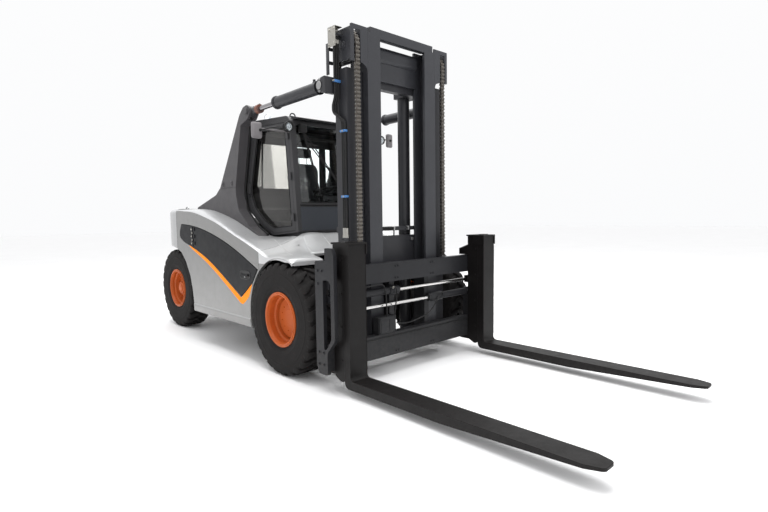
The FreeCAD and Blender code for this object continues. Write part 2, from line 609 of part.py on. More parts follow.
sw = Part.makeTorus(165, 14, V(0, 0, 0), V(0, 0, 1))
sw = fuse(sw, Part.makeCylinder(40, 26, V(0, 0, -18), V(0, 0, 1)), box(-160, 160, -14, 14, -10, 4),
          box(-14, 14, -160, 0, -10, 4))
sw.rotate(V(0, 0, 0), V(1, 0, 0), -18)
sw.translate(V(0, 694, 1911))
put("steering_wheel", sw)

# mirrors and lamps
plate = prism_y([(-58, -86), (58, -86), (58, 86), (-58, 86)], -12, 12, 26)
far, near = plate.copy(), plate.copy()
far.rotate(V(0, 0, 0), V(0, 0, 1), 11)
far.translate(V(872, 492, 2590))
near.translate(V(-1080, 492, 2532))
put("mirrors", fuse(far, cyly(494, 533, 872, 2605, 14), cylx(cab_x(529), 878, 520, 2605, 9)),
    fuse(near, cyly(496, 533, -1080, 2560, 14), cylx(-1086, -cab_x(529), 520, 2560, 9)))
lamp_r = fuse(cyly(430, 478, -715, 2600, 52), cyly(474, 534, -715, 2600, 16),
              cylx(-720, -cab_x(530), 520, 2600, 10))
lamp_l = fuse(cyly(426, 474, 668, 2574, 52), cyly(470, 534, 668, 2574, 16), cylx(cab_x(530), 674, 520, 2574, 10))
put("work_lights", lamp_l, lamp_r)

# ------------------------------------------------------------ mast, outer
def upright(x0, x1, y0, y1, z0, z1, web, fl, open_in):
    """Channel with its web away from, and its flanges towards, the truck centre
    (open_in) or the other way round."""
    s = box(x0, x1, y0, y1, z0, z1)
    if open_in:
        return s.cut(box(x0 - 1, x1 - web, y0 + fl, y1 - fl, z0 - 1, z1 + 1))
    return s.cut(box(x0 + web, x1 + 1, y0 + fl, y1 - fl, z0 - 1, z1 + 1))


outer_up = upright(OUTER_X0, OUTER_X1, OUTER_Y0, OUTER_Y1, OUTER_Z0, OUTER_Z1, 60, 28, True)
foot = prism_x([(-400, 330), (-140, 342), (-62, 342), (-62, 498), (-140, 498), (-384, 660), (-400, 660)],
               542, 604, [0, 0, 76, 76, 0, 0, 0])
foot = foot.cut(cylx(500, 700, MAST_PIVOT[0], MAST_PIVOT[1], MAST_PIN_R + RUN))
out = both(fuse(outer_up, foot))
for z0, z1 in ((205, 330), (1000, 1392), (1447, 1490), (2925, 3030)):
    out.append(prism_z([(-506, -452), (506, -452), (506, -372), (-506, -372)], z0, z1))
for s in (1, -1):
    a, b = sorted((s * (LIFT_X - 50), s * (LIFT_X + 50)))
    out.append(box(a, b, -375, LIFT_Y + 60, 205, 235))               # foot pads of the lift cylinders
    a, b = sorted((s * (LIFT_X - 78), s * 506))
    clamp = box(a, b, -375, LIFT_Y + 78, 2928, 2998)
    clamp = clamp.cut(cylz(2800, 3000, s * LIFT_X, LIFT_Y, LIFT_BARREL_R))
    out.append(clamp)
    a, b = sorted((s * 699, s * 868))
    blk = box(a, b, -440, -410, 2795, 2945)
    out.append(blk)
    for q0, q1 in ((699, 784), (846, 868)):
        a, b = sorted((s * q0, s * q1))
        out.append(prism_x([(-412, 2795), (-412, 2945), (-320, 2930), (-300, 2870), (-320, 2810)], a, b,
                           [0, 0, 30, 30, 30]))
    a, b = sorted((s * 699, s * 872))
    out.append(cylx(a, b, MAST_EYE[0], MAST_EYE[1], TILT_PIN_R))
    a, b = sorted((s * 575, s * 670))
    out.append(box(a, b, -387, -325, 1440, 1500))                    # rear chain anchors
outer = fuse(out)
put("outer_mast", outer)

barrel = cylz(235, 3050, LIFT_X, LIFT_Y, LIFT_BARREL_R).cut(cylz(1300, 3030, LIFT_X, LIFT_Y, 48)).cut(
    cylz(3000, 3100, LIFT_X, LIFT_Y, LIFT_ROD_R + RUN))
put("lift_cylinders", both(barrel))
rod = cylz(1340, 3300, LIFT_X, LIFT_Y, LIFT_ROD_R)
put("lift_rods", both(rod))

# hydraulic hoses down the right side of the mast
hoses, risers = [], []
for xk, yk in ((-714, -500), (-738, -523), (-762, -546)):
    hoses.append(tube([(xk, HOSE_Y, HOSE_CLAMP_Z), (xk, HOSE_Y, 2760), (xk - 4, -428, 2680), (xk - 4, -430, 2610),
                       (-713, yk, 2520), (-713, yk, 1400)], 70.0, HOSE_R))
    risers.append(cylz(HOSE_CLAMP_Z, HOSE_TOP_Z, xk, HOSE_Y, HOSE_R))
put("mast_hoses", hoses)
put("lift_hoses", risers)

# ------------------------------------------------------------ mast, inner
inner_up = upright(INNER_X0, INNER_X1, INNER_Y0, INNER_Y1, INNER_Z0, INNER_Z1 - 60, 60, 28, True)
ear = prism_y([(480, 2985), (495, 2985), (500, 3040), (560, 3076), (583, 3076), (583, 3376), (662, 3376),
               (662, 3076), (700, 3076), (700, 3420), (480, 3420)],
              -640, -625, [0, 0, 60, 40, 0, 0, 0, 0, 8, 8, 0])         # slotted in front of the chain
cheeks = [box(563, 578, -628, -335, 3105, 3405), box(667, 682, -628, -335, 3105, 3405)]
axle = cylx(563, 690, SHEAVE_Y, SHEAVE_Z, 24.7)
tie = box(480, 566, -628, -460, 3180, 3380)
inn = both(fuse(inner_up, ear, cheeks, axle, tie))
inn.append(box(-780, -676, -486, -398, HOSE_TOP_Z, 3352))             # hose bracket on the right ear
inn.append(box(-780, -776, -486, -398, HOSE_TOP_Z, 3412))
inn.append(box(-455, 455, INNER_Y0, -585, 3350, INNER_Z1))
inn.append(box(-455, 455, -590, -462, 3400, INNER_Z1))
inn.append(box(-330, 330, -505, -464, 180, 290))
inn.append(prism_x([(-464, 3180), (-500, 3180), (-522, 3205), (-522, 3300), (-500, 3335), (-464, 3335)], -330, 330,
                   [0, 10, 30, 40, 20, 0]))                             # rounded head beam
inn.append(box(-330, 330, -492, -464, 2992, 3184))
for s in (1, -1):
    a, b = sorted((s * (LIFT_X - 46), s * (LIFT_X + 50)))
    inn.append(box(a, b, -470, LIFT_Y + 45, 3300, 3335))
inner = fuse(inn)
put("inner_mast", inner)
sheave = revolve_x([(588, 30), (588, 133), (594, 133), (597, 119), (648, 119), (651, 133), (657, 133), (657, 30),
                    (588, 30)][:-1], SHEAVE_Y, SHEAVE_Z).fuse(cylx(588, 657, SHEAVE_Y, SHEAVE_Z, 40)).removeSplitter()
sheave = sheave.cut(cylx(500, 700, SHEAVE_Y, SHEAVE_Z, 24.8))
put("chain_sheaves", both(sheave))
c0, c1, k0, k1 = 598, 647, SHEAVE_R - 20, SHEAVE_R + 20
ch = fuse(box(c0, c1, SHEAVE_Y - k1, SHEAVE_Y - k0, 1138, SHEAVE_Z), box(c0, c1, SHEAVE_Y + k0, SHEAVE_Y + k1, 1502, SHEAVE_Z),
          cylx(c0, c1, SHEAVE_Y, SHEAVE_Z, k1).cut(cylx(590, 650, SHEAVE_Y, SHEAVE_Z, k0)).common(
              box(500, 700, -700, -200, SHEAVE_Z, 3500)))
put("lift_chains", both(ch))


# ------------------------------------------------------------ tilt cylinders
def along(shape):
    """Place a part drawn along +Y from the origin on the line mast eye to pillar eye."""
    dy, dz = PILLAR_EYE[0] - MAST_EYE[0], PILLAR_EYE[1] - MAST_EYE[1]
    shape.rotate(V(0, 0, 0), V(1, 0, 0), math.degrees(math.atan2(dz, dy)))
    shape.translate(V(TILT_X, MAST_EYE[0], MAST_EYE[1]))
    return shape


TL = math.hypot(PILLAR_EYE[0] - MAST_EYE[0], PILLAR_EYE[1] - MAST_EYE[1])
tb = fuse(cylx(-26, 26, 0, 0, 56), cyly(30, 80, 0, 0, 26), cyly(64, 850, 0, 0, 62), cyly(822, 852, 0, 0, 67))
tb = tb.cut(cyly(175, 826, 0, 0, 45)).cut(cyly(820, 900, 0, 0, 28.0 + RUN)).cut(cylx(-40, 40, 0, 0, TILT_PIN_R + RUN))
tb = along(tb)
put("tilt_barrel_left", tb)
put("tilt_barrel_right", mir(tb))
tr = fuse(cyly(520, TL - 40, 0, 0, 28), cyly(1205, TL - 84, 0, 0, 40), cyly(1205, 1265, 0, 0, 50),
          cylx(-26, 26, TL, 0, 62))
tr = tr.cut(cylx(-40, 40, TL, 0, TILT_PIN_R + 12))
tr = along(tr)
put("tilt_rod_left", tr)
put("tilt_rod_right", mir(tr))

# ------------------------------------------------------------ carriage
car = [box(-BAR_X, BAR_X, BAR_Y0, BAR_Y1, *UPBAR_Z), box(-BAR_X, BAR_X, BAR_Y0, BAR_Y1, *LOBAR_Z)]
for s in (1, -1):
    a, b = sorted((s * 232, s * 300))
    car.append(box(a, b, -698, -655, 200, 1136))
    car += [box(a, b, -705, -690, 200, 430), box(a, b, -705, -690, 950, 1136)]
    a, b = sorted((s * 262, s * 312))
    car.append(box(a, b, -660, -512, 310, 1060))
    a, b = sorted((s * 575, s * 670))
    car.append(box(a, b, -702, -578, 1050, 1136))
sp = prism_x([(-622, 250), (-655, 168), (-785, 168), (-785, 375), (-900, 500), (-900, 1265), (-862, 1326),
              (-772, 1326), (-772, 1206), (-622, 1206)], BAR_X, BAR_X + 39, [10, 15, 15, 60, 90, 60, 10, 10, 0, 20])
sp = sp.cut(prism_x([(-738, 400), (-770, 400), (-848, 505), (-848, 1038), (-738, 1038)], 1100, 1200,
                    [15, 30, 60, 50, 15]))
put("carriage_side_plates", *both(sp))
for s, z in ((-1, POS_UP_Z), (1, POS_LO_Z)):
    a, b = sorted((s * 1112, s * 240))
    bar = cylx(a, b, POS_Y, z, POS_BARREL_R)
    if s < 0:
        bar = bar.cut(cylx(-1095, -255, POS_Y, z, 31)).cut(cylx(-300, -200, POS_Y, z, POS_ROD_R + RUN))
    else:
        bar = bar.cut(cylx(255, 1095, POS_Y, z, 31)).cut(cylx(200, 300, POS_Y, z, POS_ROD_R + RUN))
    nodes["_pos%d" % s] = bar
    for x in (930, 1060):
        a, b = sorted((s * (x - 18), s * (x + 18)))
        if z > 800:
            br = box(a, b, POS_Y - 42, POS_Y + 42, z - 46, UPBAR_Z[0] + 2)
        else:
            br = box(a, b, POS_Y - 42, POS_Y + 42, LOBAR_Z[1] - 2, z + 46)
        car.append(br.cut(cylx(a - 5, b + 5, POS_Y, z, POS_BARREL_R)))
car.append(box(-525, -285, -776, -700, 430, 604))                    # valve cover on the lower bar
carriage = fuse(car)
put("carriage_frame", carriage)
put("positioner_cylinders", nodes.pop("_pos-1"), nodes.pop("_pos1"))


def fork(x):
    h = FORK_W / 2
    z0, z1 = FORK_Z, FORK_Z + FORK_T
    blade = prism_x([(FORK_FACE_Y + FORK_T, z0), (-2050, z0), (FORK_TIP_Y, z1 - 22), (FORK_TIP_Y, z1),
                     (FORK_FACE_Y - 0.01, z1), (FORK_FACE_Y, SHANK_TOP), (FORK_FACE_Y + FORK_T, SHANK_TOP)],
                    x - h, x + h, [55, 0, 5, 5, 38, 6, 6])
    tipc = prism_z([(x - h, -900), (x - h, -3130), (x - h + 38, FORK_TIP_Y), (x + h - 38, FORK_TIP_Y), (x + h, -3130),
                    (x + h, -900)], 0, 1500, [0, 60, 40, 40, 60, 0])
    blade = blade.common(tipc)
    back = FORK_FACE_Y + FORK_T - 1
    post = prism_x([(back, 150), (-905, 118), (-870, 118), (BAR_Y0 - 6, 160), (BAR_Y0 - 6, SHANK_TOP - 1),
                    (back, SHANK_TOP - 1)], x - h + 3, x + h - 3, [0, 30, 30, 30, 8, 0])
    hook = prism_x([(back, 1146), (BAR_Y1 + 40, 1146), (BAR_Y1 + 40, 1215), (BAR_Y0 - 6, 1262), (back, 1262)],
                   x - h + 3, x + h - 3)
    lo2 = box(x - 90, x + 62, back, BAR_Y1 + 30, 150, 194)
    cap = box(x - h - 10, x + h + 10, FORK_FACE_Y - 10, BAR_Y0 + 4, SHANK_TOP - 1, SHANK_TOP + 16)
    lips = [box(x - h - 10, x - h + 2, FORK_FACE_Y - 10, -868, 1268, SHANK_TOP),
            box(x + h - 2, x + h + 10, FORK_FACE_Y - 10, -868, 1268, SHANK_TOP)]
    return fuse(blade, post, hook, lo2, cap, lips)


fl = fork(FORK_X)
lug_l = box(FORK_X - 60, FORK_X + 40, BAR_Y0 - 20, POS_Y + 34, POS_UP_Z - 40, POS_UP_Z + 40)
lug_r = box(FORK_X - 60, FORK_X + 40, BAR_Y0 - 20, POS_Y + 34, POS_LO_Z - 40, POS_LO_Z + 40)
put("fork_left", fuse(fl, lug_l))
put("fork_right", mir(fuse(fl, lug_r)))
put("positioner_rod_left", cylx(-300, FORK_X - 60, POS_Y, POS_UP_Z, POS_ROD_R))
put("positioner_rod_right", cylx(-(FORK_X - 60), 300, POS_Y, POS_LO_Z, POS_ROD_R))

# ------------------------------------------------------------ export
for name in sorted(nodes):
    shape = nodes[name]
    shape.translate(V(0, Y_SHIFT, 0))
    if not shape.isValid():
        print("check", name)
    shape.exportStep("parts/%s.step" % name)
    bb = shape.BoundBox
    print("%-22s solids %d vol %.4f  x %.0f..%.0f y %.0f..%.0f z %.0f..%.0f" % (
        name, len(shape.Solids), shape.Volume / 1e9, bb.XMin, bb.XMax, bb.YMin, bb.YMax, bb.ZMin, bb.ZMax))
print(len(nodes), "nodes")
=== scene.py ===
import bpy
import bmesh
import math
from mathutils import Matrix, Vector
from mathutils.bvhtree import BVHTree

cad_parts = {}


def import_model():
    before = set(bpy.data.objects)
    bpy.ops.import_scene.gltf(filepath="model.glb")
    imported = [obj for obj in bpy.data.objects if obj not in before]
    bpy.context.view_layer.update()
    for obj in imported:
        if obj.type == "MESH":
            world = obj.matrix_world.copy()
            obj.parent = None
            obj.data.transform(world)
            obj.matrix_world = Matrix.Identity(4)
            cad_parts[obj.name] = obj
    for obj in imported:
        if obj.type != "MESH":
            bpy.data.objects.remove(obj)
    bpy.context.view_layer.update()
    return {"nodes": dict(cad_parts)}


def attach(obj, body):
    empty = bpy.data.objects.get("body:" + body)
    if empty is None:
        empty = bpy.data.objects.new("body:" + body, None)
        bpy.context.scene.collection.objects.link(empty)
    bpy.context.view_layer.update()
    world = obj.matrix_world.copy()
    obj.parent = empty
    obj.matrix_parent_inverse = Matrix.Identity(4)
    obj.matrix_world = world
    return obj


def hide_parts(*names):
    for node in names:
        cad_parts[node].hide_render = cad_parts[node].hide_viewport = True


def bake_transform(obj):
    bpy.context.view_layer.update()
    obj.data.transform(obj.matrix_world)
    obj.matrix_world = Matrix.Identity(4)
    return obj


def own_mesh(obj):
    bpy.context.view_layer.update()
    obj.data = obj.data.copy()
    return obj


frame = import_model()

N = frame["nodes"]
S = -0.3                      # the front axle's y in the row frame is -0.3
scene = bpy.context.scene


# ------------------------------------------------------------------ camera
def rows(a, e, roll):
    fwd = Vector((-math.sin(a) * math.cos(e), math.cos(a) * math.cos(e), -math.sin(e)))
    right = fwd.cross(Vector((0, 0, 1))).normalized()
    down = fwd.cross(right)
    c, s = math.cos(roll), math.sin(roll)
    return c * right + s * down, -s * right + c * down, fwd


CAM_AZ, CAM_EL, CAM_ROLL = math.radians(-43.2), math.radians(4.5), math.radians(0.78)
r_, d_, f_ = rows(CAM_AZ, CAM_EL, CAM_ROLL)
cam = bpy.data.objects.new("camera", bpy.data.cameras.new("camera"))
scene.collection.objects.link(cam)
m = Matrix((r_, -d_, -f_)).transposed().to_4x4()
m.translation = Vector((-3.88, -4.74, 1.607))
cam.matrix_world = m
cam.data.sensor_width = 36.0
cam.data.lens = 23.95
cam.data.clip_end = 200.0
scene.camera = cam


# ------------------------------------------------------------------ node helpers
class Mat:
    """A procedural material: Mat(name) makes the Blender material, once."""

    def __init__(self, name):
        self.m = bpy.data.materials.new(name)
        self.m.use_nodes = True
        self.nt = self.m.node_tree
        self.nt.nodes.clear()
        self.out = self.n("ShaderNodeOutputMaterial")
        self.bs = self.n("ShaderNodeBsdfPrincipled")
        self.link(self.bs.outputs[0], self.out.inputs[0])
        self.tc = self.n("ShaderNodeTexCoord")

    def n(self, kind, **k):
        node = self.nt.nodes.new(kind)
        for a, v in k.items():
            setattr(node, a, v)
        return node

    def link(self, a, b):
        self.nt.links.new(a, b)

    def noise(self, scale, detail=4.0, rough=0.55, coord=None, stretch=None, dist=0.0):
        t = self.n("ShaderNodeTexNoise")
        t.inputs["Scale"].default_value = scale
        t.inputs["Detail"].default_value = detail
        t.inputs["Roughness"].default_value = rough
        t.inputs["Distortion"].default_value = dist
        c = coord or self.tc.outputs["Object"]
        if stretch:
            mp = self.n("ShaderNodeMapping")
            mp.inputs["Scale"].default_value = stretch
            self.link(c, mp.inputs[0])
            c = mp.outputs[0]
        self.link(c, t.inputs["Vector"])
        return t.outputs["Fac"]

    def voronoi(self, scale, feature="F1", stretch=None):
        t = self.n("ShaderNodeTexVoronoi", feature=feature)
        t.inputs["Scale"].default_value = scale
        c = self.tc.outputs["Object"]
        if stretch:
            mp = self.n("ShaderNodeMapping")
            mp.inputs["Scale"].default_value = stretch
            self.link(c, mp.inputs[0])
            c = mp.outputs[0]
        self.link(c, t.inputs["Vector"])
        return t.outputs["Distance"]

    def math(self, op, a, b=None, clamp=False):
        t = self.n("ShaderNodeMath", operation=op, use_clamp=clamp)
        for i, v in enumerate((a, b)):
            if v is None:
                continue
            if isinstance(v, (int, float)):
                t.inputs[i].default_value = v
            else:
                self.link(v, t.inputs[i])
        return t.outputs[0]

    def range(self, v, a, b, c, d, smooth=False):
        t = self.n("ShaderNodeMapRange")
        t.clamp = True
        if smooth:
            t.interpolation_type = "SMOOTHSTEP"
        self.link(v, t.inputs[0])
        for i, q in enumerate((a, b, c, d)):
            t.inputs[i + 1].default_value = q
        return t.outputs[0]

    def mix(self, fac, a, b, blend="MIX"):
        t = self.n("ShaderNodeMix", data_type="RGBA", blend_type=blend)
        if isinstance(fac, (int, float)):
            t.inputs[0].default_value = fac
        else:
            self.link(fac, t.inputs[0])
        for i, v in ((6, a), (7, b)):
            if isinstance(v, (tuple, list)):
                t.inputs[i].default_value = (*v[:3], 1)
            else:
                self.link(v, t.inputs[i])
        return t.outputs[2]

    def axis(self, k):
        t = self.n("ShaderNodeSeparateXYZ")
        self.link(self.tc.outputs["Object"], t.inputs[0])
        return t.outputs[k]

    def up(self):
        t = self.n("ShaderNodeSeparateXYZ")
        self.link(self.tc.outputs["Normal"], t.inputs[0])
        return t.outputs[2]

    def set(self, **k):
        for a, v in k.items():
            self.bs.inputs[a.replace("_", " ")].default_value = v

    def colour(self, c):
        self.link(c, self.bs.inputs["Base Color"])

    def rough(self, c):
        self.link(c, self.bs.inputs["Roughness"])

    def metal(self, c):
        self.link(c, self.bs.inputs["Metallic"])

    def bump(self, height, strength=0.3, distance=0.002, soften=0.0):
        b = self.n("ShaderNodeBump")
        b.inputs["Strength"].default_value = strength
        b.inputs["Distance"].default_value = distance
        self.link(height, b.inputs["Height"])
        if soften:
            v = self.n("ShaderNodeBevel", samples=4)
            v.inputs["Radius"].default_value = soften
            self.link(v.outputs[0], b.inputs["Normal"])
        self.link(b.outputs[0], self.bs.inputs["Normal"])


def scale(c, k):
    return tuple(min(1.0, v * k) for v in c)


def paint(name, col, rough=0.4, metal=0.0, coat=0.0, coat_rough=0.08, var=0.07, peel=0.06, fine=260.0,
          soften=0.0025, dust=0.0, dust_col=(0.30, 0.28, 0.25), dust_top=0.9, spec=0.5, flake=0.0, streak=0.0, top=None):
    """Painted metal: mottled colour, orange-peel bump, uneven gloss, dust towards the ground, and with top a painted
    highlight: faces turned upwards get a paler colour.
    """
    q = Mat(name)
    big = q.noise(1.6, 5, 0.6)
    mid = q.noise(9.0, 6, 0.65)
    c = q.mix(q.range(big, 0.3, 0.7, 0, 1), scale(col, 1 - var), scale(col, 1 + var))
    c = q.mix(q.range(mid, 0.35, 0.75, 0, 0.35), c, scale(col, 1 - 1.6 * var))
    if flake:
        fl = q.voronoi(1900.0)
        c = q.mix(q.range(fl, 0.0, 0.5, flake, 0.0), c, scale(col, 1.5))
    if streak:
        st = q.noise(14.0, 4, 0.6, stretch=(1.0, 1.0, 0.08))
        c = q.mix(q.range(st, 0.52, 0.72, 0, streak), c, scale(col, 0.72))
    # painted highlight: faces whose normal points upwards blend to the paler top colour, standing in for light falling
    # on top faces
    if top:
        pale = q.mix(q.range(big, 0.3, 0.7, 0, 1), scale(top, 1 - var), scale(top, 1 + var))
        c = q.mix(q.range(q.up(), 0.12, 0.55, 0, 1), c, pale)
    r = q.range(mid, 0.3, 0.75, max(0.03, rough - 0.07), rough + 0.09)
    if dust:
        h = q.range(q.axis(2), 0.05, dust_top, 1.0, 0.0)
        dn = q.noise(24.0, 8, 0.7)
        f = q.math("MULTIPLY", q.math("MULTIPLY", h, q.range(dn, 0.35, 0.75, 0.1, 1.0)), dust, clamp=True)
        c = q.mix(f, c, dust_col)
        r = q.math("ADD", r, q.math("MULTIPLY", f, 0.35), clamp=True)
    q.colour(c)
    q.rough(r)
    q.set(Metallic=metal, Coat_Weight=coat, Coat_Roughness=coat_rough)
    q.bs.inputs["Specular IOR Level"].default_value = spec
    q.bump(q.noise(fine, 3, 0.5), peel, 0.0012, soften)
    return q.m


def metal_mat(name, col, rough=0.25, brush=0.0, soften=0.0015, stain=(0.10, 0.07, 0.05), stain_k=0.2):
    """Bare or plated steel with fine turning marks and a little staining."""
    q = Mat(name)
    n1 = q.noise(38.0, 7, 0.65)
    n2 = q.noise(320.0, 3, 0.6, stretch=(1.0, 0.06, 1.0) if brush else None)
    c = q.mix(q.range(n1, 0.45, 0.75, 0, stain_k), scale(col, 1.05), stain)
    c = q.mix(q.range(n2, 0.3, 0.7, 0, 0.16), c, scale(col, 0.7))
    q.colour(c)
    q.rough(q.range(n1, 0.3, 0.75, max(0.04, rough - 0.06), rough + 0.14))
    q.set(Metallic=1.0)
    q.bump(n2, 0.10 + brush, 0.0006, soften)
    return q.m


def plastic(name, col, rough=0.5, grain=900.0, depth=0.12, spec=0.45, var=0.1):
    q = Mat(name)
    n1 = q.noise(12.0, 5, 0.6)
    v = q.voronoi(grain)
    c = q.mix(q.range(n1, 0.3, 0.7, 0, 1), scale(col, 1 - var), scale(col, 1 + var))
    q.colour(c)
    q.rough(q.range(n1, 0.3, 0.75, rough - 0.06, rough + 0.1))
    q.bs.inputs["Specular IOR Level"].default_value = spec
    q.bump(v, depth, 0.0005, 0.0012)
    return q.m


def rubber(name, col=(0.018, 0.018, 0.019), rough=0.72, dusty=0.5, ridge=0.0):
    q = Mat(name)
    n1 = q.noise(5.0, 8, 0.7)
    n2 = q.noise(60.0, 8, 0.7)
    n3 = q.noise(420.0, 3, 0.6)
    c = q.mix(q.range(n1, 0.35, 0.7, 0, 1), scale(col, 0.75), scale(col, 1.5))
    c = q.mix(q.range(n2, 0.5, 0.8, 0, dusty), c, (0.085, 0.080, 0.072))
    q.colour(c)
    q.rough(q.range(n2, 0.3, 0.75, rough - 0.12, min(0.95, rough + 0.14)))
    q.bs.inputs["Specular IOR Level"].default_value = 0.25
    q.bump(q.math("ADD", n2, q.math("MULTIPLY", n3, 0.4)), 0.28, 0.0022)
    return q.m


def glass_mat(name, col, rough=0.015, haze=0.0):
    q = Mat(name)
    n = q.noise(2.5, 4, 0.5)
    q.colour(q.mix(q.range(n, 0.3, 0.7, 0, 1), scale(col, 0.94), scale(col, 1.04)))
    q.rough(q.range(q.noise(30.0, 6, 0.7), 0.4, 0.8, rough, rough + 0.05))
    q.bs.inputs["Transmission Weight"].default_value = 1.0 - haze
    q.bs.inputs["IOR"].default_value = 1.45
    return q.m


# silver body paint; top= is a painted highlight: upward faces are made paler as if lit from above
M_BODY = paint("silver_paint", (0.205, 0.204, 0.200), 0.34, 0.45, 0.35, 0.08, 0.025, 0.04, 420, 0.004, 0.10,
               dust_top=0.8, top=(0.500, 0.505, 0.512))
# paler copy of the silver paint for the hood and its ribs: a painted highlight of the top face in place of light from
# above
M_SILVER_PAINTED_HIGHLIGHT = paint("silver_paint_painted_highlight", (0.530, 0.533, 0.536), 0.36, 0.40, 0.30, 0.10, 0.025, 0.04, 420, 0.004)
# counterweight silver: its coarse cast texture is real, but its brighter tone than the body paint is a painted
# reflection of the brighter rear of the side; top= paints the upward faces paler as a painted highlight
M_CW = paint("silver_casting_painted_reflection", (0.390, 0.392, 0.396), 0.40, 0.4, 0.25, 0.12, 0.035, 0.20, 60, 0.006, 0.10, dust_top=0.9,
             top=(0.500, 0.505, 0.512))
M_PANEL = paint("charcoal_panel", (0.0060, 0.0064, 0.0078), 0.40, 0.0, 0.06, 0.10, 0.12, 0.04, 420, 0.002, 0.03,
                dust_top=1.1, spec=0.10)
M_STRIPE = paint("orange_stripe", (0.96, 0.262, 0.001), 0.45, 0.0, 0.0, 0.08, 0.03, 0.04, 420, 0.0, 0.0, spec=0.12)
M_PILLAR = paint("grey_pillar", (0.062, 0.059, 0.063), 0.46, 0.0, 0.05, 0.2, 0.07, 0.20, 520, 0.003, 0.0, spec=0.3)
M_CAB = paint("cab_grey", (0.042, 0.0415, 0.044), 0.42, 0.0, 0.05, 0.15, 0.09, 0.12, 520, 0.003, 0.0, spec=0.3)
M_CABF = paint("cab_front_panel", (0.043, 0.048, 0.058), 0.40, 0.0, 0.06, 0.1, 0.08, 0.08, 520, 0.002, 0.0, spec=0.3)
M_MAST = paint("mast_paint", (0.026, 0.0262, 0.030), 0.42, 0.0, 0.08, 0.15, 0.10, 0.14, 300, 0.003, 0.05, spec=0.3)
M_MASTI = paint("inner_mast_paint", (0.032, 0.033, 0.038), 0.40, 0.0, 0.10, 0.15, 0.10, 0.14, 300, 0.003, 0.05, spec=0.3)
M_CARR = paint("carriage_paint", (0.0140, 0.0143, 0.0165), 0.46, 0.0, 0.06, 0.2, 0.12, 0.2, 300, 0.003, 0.08, spec=0.2)
M_FRAME = paint("chassis_paint", (0.016, 0.016, 0.017), 0.6, 0.0, 0.0, 0.2, 0.12, 0.3, 120, 0.002, 0.25, spec=0.25,
                dust_col=(0.12, 0.11, 0.10))
M_AXLE = paint("axle_paint", (0.014, 0.014, 0.015), 0.55, 0.0, 0.0, 0.2, 0.12, 0.35, 90, 0.003, 0.25, spec=0.3,
               dust_col=(0.12, 0.11, 0.10))
M_RIM = paint("orange_rim", (0.46, 0.094, 0.018), 0.42, 0.0, 0.05, 0.2, 0.08, 0.12, 260, 0.003, 0.25,
              dust_col=(0.20, 0.085, 0.04), dust_top=0.9, spec=0.2)
M_FORK = paint("fork_black", (0.0060, 0.0052, 0.0052), 0.46, 0.0, 0.04, 0.25, 0.18, 0.28, 150, 0.004, 0.22,
               dust_col=(0.055, 0.050, 0.047), dust_top=0.30, spec=0.16)
M_CHROME = metal_mat("chromed_rod", (0.72, 0.71, 0.70), 0.13, 0.0, stain_k=0.08)
M_STEEL = metal_mat("machined_steel", (0.36, 0.36, 0.36), 0.34, 0.1)
M_ZINC = metal_mat("zinc_fittings", (0.40, 0.39, 0.36), 0.34, 0.05)
M_CHAIN = metal_mat("oiled_chain", (0.15, 0.142, 0.13), 0.42, 0.0, stain=(0.10, 0.07, 0.04), stain_k=0.6)
M_PINS = metal_mat("chain_pins", (0.16, 0.145, 0.13), 0.42, 0.0)
M_BLACK = plastic("black_plastic", (0.012, 0.012, 0.0125), 0.46, spec=0.3)
M_GREYP = plastic("grey_plastic", (0.09, 0.09, 0.093), 0.48, 700.0, spec=0.35)
M_MIRB = plastic("mirror_shell", (0.185, 0.175, 0.180), 0.5, 700.0, spec=0.3)
M_HEAD = plastic("cab_lining", (0.020, 0.020, 0.021), 0.75, 300.0, 0.3, spec=0.15)
M_TYRE = rubber("tyre_rubber", (0.0068, 0.0058, 0.0058), 0.84, 0.13)
M_HOSE = rubber("hose_rubber", (0.010, 0.010, 0.0105), 0.5, 0.12)
M_SEAL = rubber("rubber_seal", (0.008, 0.008, 0.0085), 0.65, 0.08)
M_BLUE = plastic("blue_clamp", (0.05, 0.17, 0.42), 0.4, 500.0)
M_DOORG = glass_mat("bronze_glass", (0.44, 0.415, 0.385))
M_GLASS = glass_mat("clear_glass", (0.80, 0.84, 0.84))
M_LENS = glass_mat("lamp_lens", (0.88, 0.92, 0.95), 0.05)
M_RED = glass_mat("red_lens", (0.75, 0.02, 0.015), 0.12, 0.35)
M_AMBER = glass_mat("amber_lens", (0.95, 0.35, 0.02), 0.12, 0.35)
M_MIRROR = metal_mat("mirror_glass", (0.85, 0.86, 0.87), 0.03, 0.0, stain_k=0.0)


def rod_mat():
    """Chromed rod in front, painted clevis and clamp behind."""
    q = Mat("tilt_rod_finish")
    n1 = q.noise(40.0, 6, 0.65)
    f = q.range(q.axis(1), 0.550, 0.556, 0.0, 1.0)
    clamp = q.math("MULTIPLY", q.range(q.axis(1), 0.552, 0.556, 0, 1), q.range(q.axis(1), 0.612, 0.618, 1, 0))
    c = q.mix(f, (0.30, 0.29, 0.30), (0.045, 0.046, 0.05))
    c = q.mix(q.math("MULTIPLY", clamp, q.range(n1, 0.3, 0.6, 0.5, 1.0)), c, (0.17, 0.055, 0.03))
    q.colour(c)
    q.metal(q.range(f, 0, 1, 1.0, 0.1))
    q.rough(q.math("ADD", q.range(f, 0, 1, 0.12, 0.42), q.math("MULTIPLY", n1, 0.12)))
    q.bump(n1, 0.12, 0.001, 0.002)
    return q.m


M_ROD = rod_mat()

